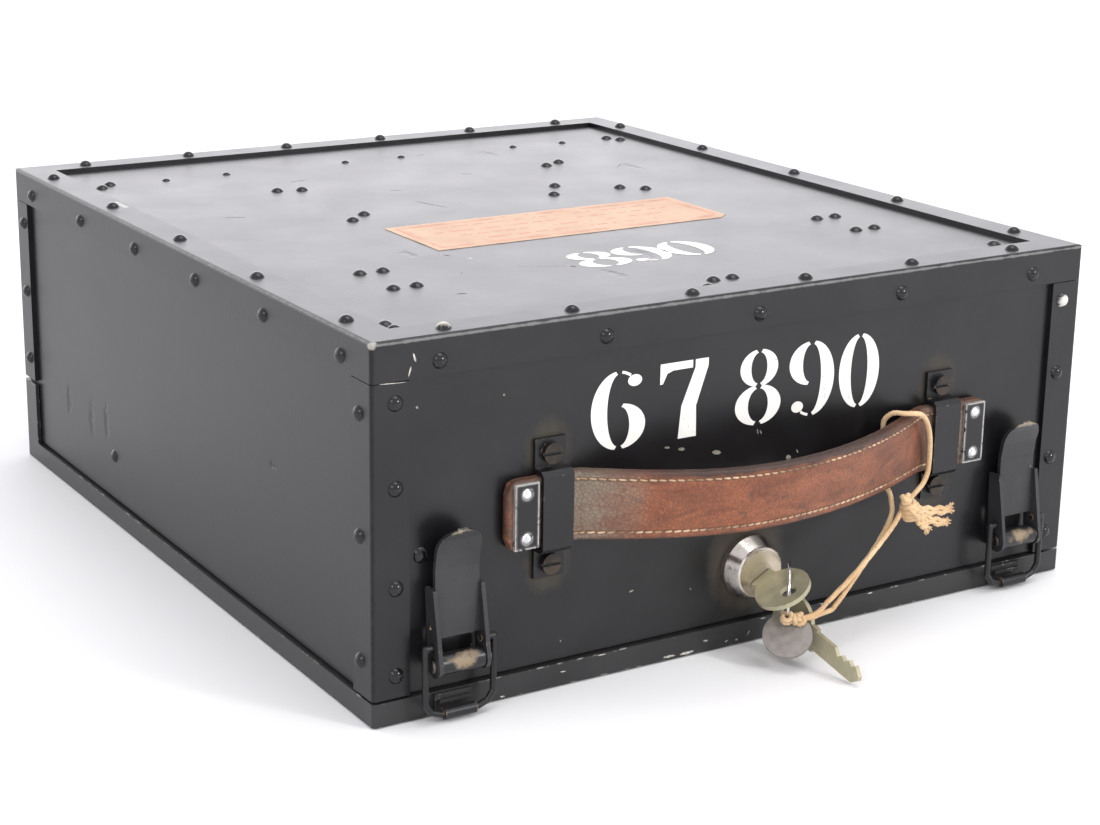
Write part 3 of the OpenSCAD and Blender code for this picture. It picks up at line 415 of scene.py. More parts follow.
rivetHalos = [((0.1555, -0.185, 0.1195), everyWay, 0.0022, 0.0034, (0.62, 0.60, 0.56)),
    ((-0.1445, -0.185, 0.1195), everyWay, 0.0008, 0.0022, (0.4, 0.37, 0.32)),
    ((-0.1325, -0.1755, 0.144), everyWay, 0.0012, 0.003, (0.5, 0.47, 0.4))]
leverHalos = [((0, -0.1932, 0.0722), (0, 1, 1), 0.0010, 0.0024, (0.36, 0.31, 0.22), 0.005)]
bracketHalos = [((side * 0.133, -0.1925, 0.0235), (0.55, 1, 1), 0.0012, 0.0034, (0.25, 0.19, 0.12), 0.007)
    for side in (-1, 1)]

sheetPaint = makePaint("case_sheet_paint", paintLook, sheetHalos, sheetDents, wear=0.3)
framePaint = makePaint("case_frame_paint", paintLook, frameHalos, wear=0.3, rough=0.34, speckAmount=0.05,
    fine=430.0, bump=0.42)
trayPaint = makePaint("tray_paint", paintLook, dark=(0.018, 0.018, 0.019), light=(0.027, 0.027, 0.028),
    wear=0.44, rough=0.36, speckAmount=0.07, chipGrain=170.0)
rivetPaint = makePaint("rivet_enamel", paintLook, rivetHalos, rough=0.17, wear=0.3, speckGrain=240.0,
    speckSize=0.16, speckAmount=0.07, reach=0.0004)
stopPaint = makePaint("stop_plate_enamel", paintLook, chip=(0.62, 0.61, 0.58), reach=0.0016, wear=0.62,
    chipGrain=420.0, rough=0.4, speckAmount=0.12)

fittingLook = {**paintLook, "chip": (0.34, 0.25, 0.15), "reach": 0.0007, "chipGrain": 330.0, "rough": 0.36,
    "speckGrain": 190.0, "speckSize": 0.14, "speckAmount": 0.08, "fine": 1300.0, "bump": 0.6}
fittingPaint = makePaint("fitting_enamel", fittingLook)
leverPaint = makePaint("lever_enamel", fittingLook, leverHalos, dark=(0.019, 0.019, 0.021),
    light=(0.036, 0.036, 0.038), rough=0.33, wear=0.40, fine=1900.0, bump=1.32)
bracketPaint = makePaint("bracket_enamel", fittingLook, bracketHalos, dark=(0.014, 0.014, 0.015),
    rough=0.30)
bailPaint = makePaint("bail_wire_finish", fittingLook, wear=0.56, rough=0.38, speckAmount=0.16,
    chip=(0.30, 0.22, 0.14))
print("painted sheet done")

# metals

metalLook = {"grain": 500.0, "broad": 120.0, "bump": 0.2, "wear": 0.3, "edge": (0.8, 0.78, 0.72),
    "metallic": 1.0}


def makeMetal(name, colour, shade, rough, dull=None, **changes):
    look = {**metalLook, **changes}
    material, tree = newMaterial(name, Metallic=look["metallic"])
    fine = use(tree, skinGrain, Fine=look["grain"], Broad=look["broad"])
    tone = toned(tree, fine["Mottle"], 0.36, 0.66, shade, colour)
    roughness = spread(tree, fine["Mottle"], 0.3, 0.7, rough * 0.8, rough * 1.25)
    if dull:
        *where, tint = dull
        mask = spot(tree, *where)
        tone = blendColor(tree, mask, tone, tint)
        roughness = plus(tree, roughness, times(tree, mask, 0.14))
    tone = blendColor(tree, wornEdge(tree, 0.0004, 400.0, look["wear"]), tone, look["edge"])
    return coat(material, tone, roughness, fine["Height"], look["bump"])


nickel = makeMetal("aged_nickel", (0.74, 0.69, 0.64), (0.60, 0.55, 0.50), 0.2,
    dull=((0, -0.19, 0.0303), (1, 0, 1), 0.0093, 0.0101, (0.66, 0.59, 0.47)))
plugMetal = makeMetal("plug_metal", (0.58, 0.52, 0.40), (0.46, 0.41, 0.31), 0.34, metallic=0.7)
keyMetal = makeMetal("dull_key_metal", (0.47, 0.43, 0.29), (0.36, 0.33, 0.22), 0.36, wear=0.5,
    metallic=0.45, edge=(0.62, 0.59, 0.46), broad=160.0, bump=0.4)
tagMetal = makeMetal("tag_metal", (0.30, 0.275, 0.25), (0.22, 0.20, 0.185), 0.5, broad=300.0, wear=0.35,
    bump=0.48, metallic=0.35)
ringMetal = makeMetal("plated_wire", (0.78, 0.77, 0.75), (0.60, 0.58, 0.56), 0.14)
screwMetal = makeMetal("browned_screw", (0.075, 0.058, 0.045), (0.030, 0.025, 0.022), 0.42,
    edge=(0.24, 0.19, 0.14), metallic=0.7, bump=0.6)
rivetBright = makeMetal("bright_rivet", (0.86, 0.87, 0.90), (0.58, 0.58, 0.60), 0.3, bump=0.8)
groundSteel = makeMetal("ground_steel", (0.62, 0.62, 0.63), (0.44, 0.44, 0.46), 0.26)
wheelBrass = makeMetal("wheel_brass", (0.66, 0.50, 0.24), (0.44, 0.32, 0.15), 0.3, wear=0.4,
    edge=(0.86, 0.70, 0.40))
pinSteel = makeMetal("hinge_pin_steel", (0.30, 0.27, 0.24), (0.14, 0.12, 0.11), 0.4)
print("metals done")

# each rule gives its material to the faces whose middle, in mm, and normal pass its test


def paintBy(node, base, *rules):
    obj = nodes[node]
    obj.data.materials.clear()
    for material in [base] + [material for material, test in rules]:
        obj.data.materials.append(material)
    for face in obj.data.polygons:
        face.material_index = 0
        for i, (material, test) in enumerate(rules):
            if test(face.center / mm, face.normal):
                face.material_index = i + 1
                break


def headsAt(places, reach, foot):
    return lambda p, n: p.y < foot and any(math.hypot(p.x - x, p.z - z) < reach for x, z in places)


plain = {"hood_panels": sheetPaint, "hood_edge_angles": framePaint, "hood_rivets": rivetPaint,
    "base_tray": trayPaint, "latch_brackets": bracketPaint, "latch_lever_left": leverPaint,
    "latch_lever_right": leverPaint, "latch_bail_left": bailPaint, "latch_bail_right": bailPaint,
    "lock_barrel": nickel, "lock_plug": plugMetal, "lock_key": keyMetal, "spare_key": keyMetal,
    "hinge_pins": pinSteel, "wheel_axle": groundSteel}
for node, material in plain.items():
    paintBy(node, material)

endRivets = [(x, z) for x in (-104.5, 107.5) for z in (62.5, 79.5)]
wireLook = {"centre": (6.6, -199.2, 24.7), "axis": (0.79, -0.61, 0), "radius": 11.8, "reach": 1.1,
    "half": 1}


def isWire(p, n, look=wireLook):
    away = p - Vector(look["centre"])
    offAxis = abs(away.dot(Vector(look["axis"])))
    return abs(away.length - look["radius"]) < look["reach"] and offAxis < look["half"]


paintBy("handle_bridges", fittingPaint, (screwMetal, headsAt(screwPlaces, reach=4.2, foot=-184.75)))
paintBy("key_ring", tagMetal, (ringMetal, isWire))
paintBy("strap_stop_plates", stopPaint, (rivetBright, headsAt(endRivets, reach=2.9, foot=-187.25)))
print("fittings painted")

# string

stringLook = {"radius": 1.0 * mm, "twist": 0.0042,
    "route": [(19, 24, 20.5), (27, 23.5, 25.5), (35, 22.5, 30.5), (43, 21, 35.5), (50.5, 19, 40),
    (57, 17.3, 44.5), (62, 15.8, 49), (66, 14.6, 51.8), (72, 11.6, 53.2), (78, 8.8, 55), (81.6, 7.2, 58.5),
    (82.8, 6.4, 63), (82.6, 6.6, 68), (81.4, 7.6, 73), (79, 9.2, 78), (75.5, 11.2, 82.5),
    (71.5, 12.8, 85.8), (67.5, 13.4, 87), (64, 11.4, 87), (61.2, 7.6, 86.5), (59.2, 5.1, 83.2),
    (59.2, 5, 78), (59.2, 5, 72), (59.2, 5, 66), (59.6, 5.2, 60), (60.4, 6.2, 56.5), (61, 8.6, 54.2),
    (60.4, 11, 50.5), (59.2, 12.8, 47), (55.5, 14.5, 42.5), (49, 17, 37.3), (42, 19, 32), (35, 21, 27),
    (28, 23, 22), (22, 24, 17.3)], "knot": (64.6, -200.2, 48.6),
    "tails": [((2.6, -0.6, 0.2), (83.0, -202.0, 46.4), -0.6, 1.5),
    ((2.6, -0.9, -1.2), (80.6, -202.6, 41.6), -0.9, 1.4),
    ((2.2, -1.2, -2.2), (71.6, -202.6, 41.2), -0.4, 1.3)]}
tieLook = {"wire": (0.2, -207.2, 18.4), "wireAxis": (-0.43, -0.55, 0.715), "loop": 1.75,
    "knot": (4.0, -209.9, 18.2), "knotSize": 2.0, "thick": 0.95,
    "strands": [((19, -207, 20.5), 0.8), ((22, -207, 17.3), -0.9)]}


def makeStringFinish():
    material, tree = newMaterial("tan_twine", Sheen_Weight=0.25)
    fibres = noise(tree, 1500.0, 4.0, 0.7)
    colour = toned(tree, noise(tree, 70.0, 3.0), 0.35, 0.65, (0.60, 0.38, 0.19), (0.76, 0.55, 0.32))
    colour = toned(tree, fibres, 0.5, 0.3, colour, (0.46, 0.29, 0.13))
    return coat(material, colour, spread(tree, fibres, 0.3, 0.7, 0.95, 0.75), fibres, 0.7, 0.0004)


def tiltTo(axis):
    return Vector(axis).to_track_quat("Z", "Y").to_matrix()


def knotLine(centre, size, axis, turns=64):
    line = []
    for i in range(turns + 1):
        t = fullTurn * i / turns
        p = Vector(((math.sin(t) + 2 * math.sin(2 * t)), (math.cos(t) - 2 * math.cos(2 * t)) * 0.9,
            -math.sin(3 * t) * 1.25)) * size / 3 * 1.15
        line.append(Vector(centre) + tiltTo(axis) @ p)
    return line


def windings(middle, axis, radius, pitch, turns, swell=0.0, steps=18):
    line, n = [], int(turns * steps)
    for i in range(n + 1):
        a, along = fullTurn * i / steps, (i / n - 0.5)
        r = radius + swell * (math.cos(math.pi * along) - 0.5) + 0.18 * math.sin(a * 0.37)
        line.append(Vector(middle) + tiltTo(axis) @ Vector((r * math.cos(a), r * math.sin(a),
            along * turns * pitch)))
    return line


def frayedTail(start, end, sag, spreadOut, strands=14):
    parts = []
    start, end = Vector(start), Vector(end)
    side = (end - start).orthogonal().normalized()
    other = (end - start).normalized().cross(side)
    for k in range(2):
        off = side * (0.7 if k else -0.7) + other * (0.4 if k else -0.3)
        line = [start.lerp(end, t / 14) + off * (1 + 0.5 * math.sin(t * 1.3 + k))
            + Vector((0, 0, sag)) * math.sin(math.pi * t / 14) for t in range(15)]
        parts.append(thinTube(smoothPath(line, 2), 1.0, 12, 3, 0.18, 0.0045))
        tip = line[-1]
        ahead = (line[-1] - line[-3]).normalized()
        for s in range(strands):
            turn = fullTurn * (s + random.random()) / strands
            out = (side * math.cos(turn) + other * math.sin(turn)) * spreadOut * (0.4
                + 0.6 * random.random())
            reach = 1.1 + 1.3 * random.random()
            hair = [tip - ahead * 0.8, tip + ahead * reach * 0.45 + out * 0.55,
                tip + ahead * reach + out * 1.2]
            parts.append(thinTube(smoothPath(hair, 3), 0.36, 5, 2, 0.1, 0.003, lambda t: 1 - 0.45 * t))
    return parts


def makeKnot(look):
    middle = Vector(look["knot"])
    lines = [windings(middle, (-0.30, -0.1, 1), 2.5, 1.75, 4.6, 1.5),
        windings(middle + Vector((0.4, -0.4, 0)), (0.75, -0.2, 0.65), 3.1, 1.6, 1.6, 0.5),
        knotLine(middle + Vector((-2.6, -0.2, 5.2)), 1.7, (0.3, -0.9, 0.3))]
    parts = [thinTube(line, 1.02, 12, 3, 0.16, 0.004) for line in lines]
    for start, end, sag, out in look["tails"]:
        parts += frayedTail(middle + Vector(start), end, sag, out)
    return joinParts("string_knot", parts)


def makeTie(look):
    knot = Vector(look["knot"])
    lines = [windings(look["wire"], look["wireAxis"], look["loop"], 1.75, 2.2),
        knotLine(knot, look["knotSize"], (0.2, -0.7, 0.6)),
        windings(knot + Vector((-1.6, 0.8, 0.0)), (0.9, -0.4, 0), 1.5, 1.6, 1.4)]
    for end, lift in look["strands"]:
        lines.append(smoothPath([knot + Vector((0.5, -0.3, 0.2)), Vector((8.6, -211.2, 18.6 + lift * 0.5)),
            Vector((13.4, -210.4, 19.2 + lift * 0.9)), Vector(end)], 8))
    return joinParts("string_tie", [thinTube(line, look["thick"], 12, 3, 0.14, 0.0042) for line in lines])


twine = makeStringFinish()
stringLine = smoothPath([Vector((x, stripFront - out, z)) * mm for x, out, z in stringLook["route"]], 8)
stringPiece = joinParts("key_string",
    [twistedTube(stringLine, stringLook["radius"], 14, 3, 0.12, stringLook["twist"])])
dress(stringPiece, twine, "strap")
knotPiece = dress(makeKnot(stringLook), twine, "strap")
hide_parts("tie_string")
dress(makeTie(tieLook), twine, "ring")
print("string and knots made")

# strap handle

strapLook = {"ends": (-111.5, 114.5), "z": 71.0, "half": 13.5, "thick": 5.0, "peak": -10.0, "rise": 27.0,
    "free": 81.0, "base": 0.8, "lean": 3.2, "stations": 150, "corner": 4.5, "tip": 1.2, "rub": 0.10,
    "stitchFrom": -96.0, "stitchTo": 99.0, "stitchIn": 3.1, "pitch": 3.1, "stitchLength": 2.35,
    "thread": 0.42, "profile": [(1, 0.10), (1, 0.55), (0.975, 0.80), (0.935, 0.95), (0.88, 0.99),
    (0.81, 0.93), (0.765, 0.90), (0.72, 0.93), (0.6, 0.97), (0.3, 1.0)]}


def strapBulge(x, look):
    reach = look["free"] - look["peak"] if x > look["peak"] else look["free"] + look["peak"]
    u = (x - look["peak"]) / reach
    return 0.0 if abs(u) >= 1 else look["rise"] * (1 - u * u) ** 1.1


def strapFrame(x, look):
    a, b = (Vector((x + step, stripFront - look["base"] - strapBulge(x + step, look), 0))
        for step in (-0.5, 0.5))
    ahead = (b - a).normalized()
    return Vector((x, (a.y + b.y) / 2, look["z"])), Vector((ahead.y, -ahead.x, 0))


def strapPoint(x, w, t, look):
    middle, out = strapFrame(x, look)
    lean = look["lean"] * strapBulge(x, look) / look["rise"] * w / look["half"]
    return middle + out * (t + lean) + Vector((0, 0, w))


def strapSection(look):
    half, thick, side = look["half"], look["thick"] / 2, look["profile"]
    front = [(w * half, t * thick) for w, t in [(-w, t) for w, t in side] + [(0, 1.0)] + side[::-1]]
    edge = 0.982 * half
    return front + [(edge, 0.0)] + [(w, -t) for w, t in reversed(front)] + [(-edge, 0.0)]


def makeStrap(look):
    section = strapSection(look)
    (low, high), n, corner, tip = look["ends"], look["stations"], look["corner"], look["tip"]
    points = []
    for i in range(n + 1):
        x = low + (high - low) * i / n
        gap = min(x - low, high - x)
        narrow = 0.0 if gap > corner else corner - math.sqrt(max(corner ** 2 - (corner - gap) ** 2, 0))
        thin = 1.0 if gap > tip else 0.72 + 0.28 * gap / tip
        for w, t in section:
            rub = look["rub"] * math.sin(x * 0.9 + w) * math.sin(x * 0.37 + w * 0.8) * (abs(w) > 12)
            w = w * (look["half"] - narrow) / look["half"] - math.copysign(abs(rub), w)
            points.append(strapPoint(x, w, t * thin, look) * mm)
    return joinParts("leather_strap", [(points, tubeFaces(n + 1, len(section)))])


def makeStitches(look):
    parts = []
    for face in (1, -1):
        for row in (1, -1):
            w, t = row * (look["half"] - look["stitchIn"]), face * look["thick"] / 2 * 0.90
            x = look["stitchFrom"]
            while x < look["stitchTo"]:
                a = strapPoint(x, w + 0.12 * row, t, look)
                b = strapPoint(x + look["stitchLength"], w - 0.12 * row, t, look)
                out = strapFrame(x, look)[1] * face
                line = [a.lerp(b, t) + out * (math.sin(math.pi * t) * 0.30 - 0.12)
                    for t in (0, 0.12, 0.3, 0.5, 0.7, 0.88, 1)]
                parts.append(thinTube(line, look["thread"], 7, 2, 0.12, 0.0016,
                    lambda t: 0.62 + 0.38 * math.sin(math.pi * t)))
                x += look["pitch"] * (1 + 0.05 * math.sin(x * 2.3 + row))
    return joinParts("strap_stitches", parts)


def makeLeather():
    material, tree = newMaterial("harness_leather")
    where = objectSpace(tree)
    split = place(tree, "SeparateXYZ", {"Vector": where}).outputs
    x, z = split["X"], split["Z"]

    def stretched(scale):
        return place(tree, "Mapping", {"Vector": where, "Scale": scale}).outputs[0]

    patches = noise(tree, 55.0, 5.0, 0.65, stretched((1.0, 1.0, 2.2)), 0.6)
    cloud = noise(tree, 150.0, 4.0, 0.6, where, 0.3)
    fibre = noise(tree, 800.0, 5.0, 0.7, stretched((2.2, 1.0, 0.7)))
    cracks = place(tree, "TexVoronoi", {"Vector": where, "Scale": 620.0}, feature="DISTANCE_TO_EDGE")
    crease = spread(tree, cracks.outputs["Distance"], 0.02, 0.14)
    colour = toned(tree, patches, 0.36, 0.62, (0.150, 0.040, 0.015), (0.300, 0.092, 0.034))
    # lighter fibre flecks: partly the leather's grain, partly a painted sheen
    colour = toned(tree, fibre, 0.56, 0.72, colour, (0.40, 0.165, 0.080))
    colour = toned(tree, cloud, 0.60, 0.72, colour, (0.105, 0.045, 0.028))
    # grey, dried ends beside the bridges and dirty tips beyond them
    ends = calc(tree, "MAXIMUM", spread(tree, x, -0.058, -0.078), spread(tree, x, 0.076, 0.086))
    dried = plus(tree, ends, times(tree, minus(tree, patches, 0.5), 1.8), True)
    worn = times(tree, dried, spread(tree, ends, 0.0, 0.25))
    tips = calc(tree, "GREATER_THAN", calc(tree, "ABSOLUTE", minus(tree, x, 0.0015)), 0.101)
    worn = times(tree, worn, minus(tree, 1.0, times(tree, tips, 0.75)))
    colour = blendColor(tree, worn, colour, (0.215, 0.175, 0.130))
    grime = times(tree, times(tree, tips, spread(tree, cloud, 0.40, 0.58)), 0.7)
    colour = blendColor(tree, grime, colour, (0.065, 0.038, 0.026))
    # dark rims, the burnished top edge and the groove that the stitches lie in
    across = calc(tree, "ABSOLUTE", minus(tree, z, 0.071))
    rim = spread(tree, shifted(tree, across, cloud, 0.0035), 0.0116, 0.0130)
    colour = blendColor(tree, times(tree, rim, 0.6), colour, (0.062, 0.028, 0.018))
    upper = spread(tree, shifted(tree, z, cloud, 0.004), 0.0815, 0.0832)
    middle = spread(tree, calc(tree, "ABSOLUTE", x), 0.075, 0.045)
    colour = blendColor(tree, times(tree, times(tree, upper, middle), 0.9), colour, (0.022, 0.011, 0.008))
    groove = calc(tree, "COMPARE", across, 0.0103)
    groove.node.inputs[2].default_value = 0.0007
    colour = blendColor(tree, times(tree, groove, 0.55), colour, (0.085, 0.038, 0.024))
    # creases, handling and rubbed edges
    colour = blendColor(tree, times(tree, minus(tree, 1.0, crease), 0.5), colour, (0.080, 0.034, 0.022))
    handled = times(tree, spread(tree, x, 0.0, 0.07), spread(tree, patches, 0.3, 0.6, 0.55, 0.2))
    colour = blendColor(tree, handled, colour, (0.075, 0.036, 0.024))
    rubbed = times(tree, wornEdge(tree, 0.0009, 320.0, 0.5), minus(tree, 0.7, times(tree, upper, 0.6)))
    colour = blendColor(tree, rubbed, colour, (0.40, 0.22, 0.14))
    rough = plus(tree, spread(tree, patches, 0.3, 0.7, 0.50, 0.38), times(tree, worn, 0.25), True)
    height = plus(tree, times(tree, crease, 0.5), times(tree, fibre, 0.9))
    return coat(material, colour, rough, plus(tree, height, times(tree, patches, 1.2)), 0.35, 0.0005)


def makeThread():
    material, tree = newMaterial("waxed_thread")
    fine = noise(tree, 1800.0, 3.0)
    colour = toned(tree, noise(tree, 95.0, 4.0), 0.38, 0.62, (0.24, 0.140, 0.080), (0.66, 0.48, 0.30))
    return coat(material, colour, spread(tree, fine, 0.3, 0.7, 0.85, 0.6), fine, 0.5, 0.0003)


strapPiece = dress(makeStrap(strapLook), makeLeather(), "strap")
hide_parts("handle_strap")
dress(makeStitches(strapLook), makeThread(), "strap")
print("strap made")

# stencilled numbers, drawn in a box one unit tall


def ellipse(centre, size, angles):
    return [(centre[0] + size[0] * math.cos(a), centre[1] + size[1] * math.sin(a)) for a in angles]


def arc(centre, outer, inner, start, end, steps=26):
    angles = [math.radians(start + (end - start) * i / steps) for i in range(steps + 1)]
    return ellipse(centre, outer, angles) + ellipse(centre, inner, angles[::-1])


def ring(centre, outer, inner, gap):
    return [arc(centre, outer, inner, start + gap, start + 180 - gap) for start in (-90, 90)]


def halfTurn(shapes):
    return [[(-x, 1 - y) for x, y in shape] for shape in shapes]


six = [arc((0, 0.5), (0.29, 0.5), (0.12, 0.46), 97, 263),
    arc((0.02, 0.29), (0.27, 0.29), (0.10, 0.25), -83, 83),
    arc((0, 0.5), (0.28, 0.5), (0.25, 0.465), 62, 83),
    ellipse((0.17, 0.855), (0.075, 0.075), [fullTurn * i / 20 for i in range(20)])]
seven = [[(-0.27, 1.0), (-0.27, 0.74), (-0.24, 0.74), (-0.19, 0.87), (-0.12, 0.90), (0.10, 0.90),
    (0.10, 1.0)], [(0.13, 1.0), (0.13, 0.90), (-0.02, 0.42), (-0.05, 0.0), (0.16, 0.0), (0.15, 0.40),
    (0.28, 0.90), (0.28, 1.0)]]
numerals = {"0": ring((0, 0.5), (0.29, 0.5), (0.12, 0.46), 8), "6": six, "7": seven, "9": halfTurn(six),
    "8": ring((0, 0.755), (0.235, 0.245), (0.10, 0.205), 10)
    + ring((0, 0.265), (0.285, 0.265), (0.125, 0.22), 10)}
frontNumber = {"glyphs": [("6", -62, 24), ("7", -33, 23), ("8", 2, 22), ("9", 27.5, 22), ("0", 51, 20)],
    "low": 88.0, "tall": 30.0, "thick": 0.07, "lift": 0.02}
topNumber = {"glyphs": [("8", -22, 24), ("9", 0, 22), ("0", 21, 22)], "low": -117.0, "tall": 26.0,
    "thick": 0.07, "lift": 0.02}


def facingFront(face):
    return lambda u, v, lift: Vector((u, face - lift, v)) * mm


def facingUp(face):
    return lambda u, v, lift: Vector((u, v, face + lift)) * mm


def makeNumber(name, look, onto):
    plates = []
    for digit, middle, wide in look["glyphs"]:
        for shape in numerals[digit]:
            rim = [(middle + u * wide / 0.58, look["low"] + v * look["tall"]) for u, v in shape]
            plates.append(plate(rim, onto, look["thick"]))
    return joinParts(name, plates, False)


def makeStencilPaint():
    material, tree = newMaterial("stencil_white")
    fine, broad = noise(tree, 420.0, 6.0, 0.7), noise(tree, 60.0, 4.0)
    rubbed = times(tree, spread(tree, fine, 0.60, 0.66), spread(tree, broad, 0.42, 0.62))
    colour = toned(tree, broad, 0.3, 0.7, (0.82, 0.81, 0.76), (0.92, 0.91, 0.87))
    colour = blendColor(tree, rubbed, colour, (0.16, 0.15, 0.14))
    return coat(material, colour, spread(tree, fine, 0.3, 0.7, 0.55, 0.75), fine, 0.4)


stencilWhite = makeStencilPaint()
for name, look, onto in (("front_number", frontNumber, facingFront(panelFront - frontNumber["lift"])),
        ("top_number", topNumber, facingUp(panelTop + topNumber["lift"]))):
    dress(makeNumber(name, look, onto), stencilWhite, "hood")
print("numbers stencilled")

# chips and scratches in the paint, each from one end to the other and so wide

markLook = {"thick": 0.03, "lift": 0.01, "step": 0.8, "uneven": (0.65, 0.5)}
marks = {"front_chips": [(-41, 85.5, -38.3, 85.1, 1.0), (-34.6, 83.9, -31.4, 83.4, 1.5),
    (-18.8, 80.3, -14.5, 79.4, 1.8), (16.8, 73.1, 19.3, 71.9, 1.9), (3.6, 85.7, 4.4, 83.9, 0.8),
    (2.2, 86.4, 2.8, 84.2, 0.6), (21.6, 75.3, 22.7, 73.5, 0.6), (-55.1, 30.5, -52.8, 30.9, 0.8),
    (-146.4, 116.8, -145.6, 115.8, 1.0), (-111.3, 116.2, -110.5, 115.4, 0.9),
    (-26.8, 26.8, -26.3, 25.8, 0.5), (-85.5, 17.3, -85, 16.4, 0.6)],
    "strip_chips": [(-148.6, 136.7, -147.5, 133.3, 0.9), (-149.4, 132.1, -150.4, 128.3, 0.8),
    (-162, 127.2, -151, 126.6, 0.35)], "tray_chips": [(-39.9, 1.4, -34, 1.2, 1.0),
    (-32, 1.0, -25.3, 1.2, 1.2), (-21.2, 4.5, -18.8, 4.2, 0.8), (-10.6, 1.9, -9.1, 2.4, 0.7),
    (0, 2.6, 1.4, 4.5, 0.35), (-5.7, 1.7, -4.3, 1.8, 0.5), (-112.4, 1.0, -110.3, 0.9, 0.7),
    (35.9, 8.6, 41.9, 8.5, 0.5), (6.1, 8.3, 9, 8.2, 0.5), (-86.5, 5.4, -83.9, 5.2, 0.5),
    (60, 8.4, 63, 8.5, 0.6), (-70, 8.5, -66, 8.4, 0.5)],
    "top_scratches": [(25.2, 133.4, 30.1, 134, 0.5), (20.2, 80.2, 24.8, 77.8, 0.6),
    (-30.5, 32, -24.8, 13.8, 0.45), (-72.4, -68.5, -70.7, -70.4, 1.0), (-38.1, -109, -36.6, -111, 1.3),
    (-82.1, -99.1, -81.3, -99.6, 0.8), (-100.6, -128, -96.4, -129, 1.0), (-28.3, 61, -24, 57.4, 0.3),
    (65.2, -52.3, 71.2, -53, 0.3), (-120, 40, -112, 36, 0.3), (96, 60, 104, 68, 0.3),
    (-60, 100, -52, 101, 0.3)], "top_rubs": [(-55.8, -99.4, -39.5, -108, 0.3),
    (-74, -66.5, -72.6, -68.2, 0.4), (40, -88, 48, -90, 0.25)]}


def makeMarks(name, onto, look=markLook):
    plates = []
    least, more = look["uneven"]
    for ax, ay, bx, by, width in marks[name]:
        a = Vector((ax, ay))
        ahead = Vector((bx, by)) - a
        side = Vector((-ahead.y, ahead.x)).normalized() * width / 2
        n = max(4, min(12, int(ahead.length / look["step"])))
        rim = []
        for k, way in [(k, 1) for k in range(n + 1)] + [(k, -1) for k in range(n - 1, 0, -1)]:
            full = math.sqrt(max(1 - (2 * k / n - 1) ** 2, 0)) * (least + more * random.random())
            rim.append(a + ahead * k / n + side * full * way)
        plates.append(plate(rim, onto, look["thick"]))
    return joinParts(name, plates, False)


markTone = {"grain": (900.0, 4.0, 0.7), "limits": (0.35, 0.65), "rough": (0.55, 0.8)}
chipFinish = twoTone("bare_chip", dark=(0.13, 0.125, 0.095), light=(0.33, 0.32, 0.25), **markTone)
chipBright = twoTone("bright_chip", dark=(0.24, 0.23, 0.20), light=(0.62, 0.60, 0.54), **markTone)
scratchFinish = twoTone("dark_scratch", dark=(0.010, 0.010, 0.010), light=(0.05, 0.05, 0.05), **markTone)
onStrip, onTop = facingFront(stripFront - markLook["lift"]), facingUp(panelTop + markLook["lift"])
for name, onto, finish, body in (("front_chips", facingFront(panelFront - markLook["lift"]), chipFinish,
        "hood"), ("strip_chips", onStrip, chipBright, "hood"), ("tray_chips", onStrip, chipBright, "base"),
        ("top_scratches", onTop, scratchFinish, "hood"), ("top_rubs", onTop, chipBright, "hood")):
    dress(makeMarks(name, onto), finish, body)
print("chips and scratches laid")

# paper label, with a red frame and rows of dashes

labelLook = {"x": (-70.5, 75.5), "y": (-61.0, -13.0), "z": 140.03, "thick": 0.16, "corner": 5.0,
    "step": 1.6, "ragged": 0.28, "ink": 0.012, "frames": [(3.2, 0.9, 0.5), (5.3, 0.35, 0)],
    "rows": [(18, 128), (14, 132), (22, 124), (30, 116)], "rowTop": 10.5, "rowStep": 8.4, "dash": 0.55}


def labelPoint(x, y, lift, look):
    wave = 0.05 * math.sin(x * 0.21) * math.sin(y * 0.33 + 1) + 0.04 * math.sin(x * 0.57 + y * 0.2)
    return Vector((x, y, look["z"] + max(wave, 0) + lift)) * mm


def raggedEdge(a, b, look):
    n = max(int((b - a).length / look["step"]), 1)
    across = Vector((-(b - a).y, (b - a).x)).normalized()
    return [a.lerp(b, i / n) + across * (random.random() - 0.5) * look["ragged"] * (0 < i < n)
        for i in range(n)]


def makeLabel(look):
    (x0, x1), (y0, y1), c = look["x"], look["y"], look["corner"]
    corners = [Vector(p) for p in ((x0, y0), (x1 - c, y0), (x1, y0 + c * 0.8), (x1, y1), (x0 + 1.5, y1),
        (x0, y1 - 1.2))]
    outline = []
    for a, b in zip(corners, corners[1:] + corners[:1]):
        outline += raggedEdge(a, b, look)
    sheet = plate(outline, lambda x, y, lift: labelPoint(x, y, lift, look), look["thick"])
    return joinParts("top_label", [sheet], False)


def inkBar(ax, ay, bx, by, look):
    n = max(int(max(bx - ax, by - ay) / 4), 1)
    points = []
    for i in range(n + 1):
        x, y = ax + (bx - ax) * i / n, ay + (by - ay) * i / n
        pair = ((x, ay), (x, by)) if bx - ax > by - ay else ((ax, y), (bx, y))
        points += [labelPoint(u, v, look["thick"] + look["ink"], look) for u, v in pair]
    return points, [(a, a + 1, a + 3, a + 2) for a in range(0, 2 * n, 2)]


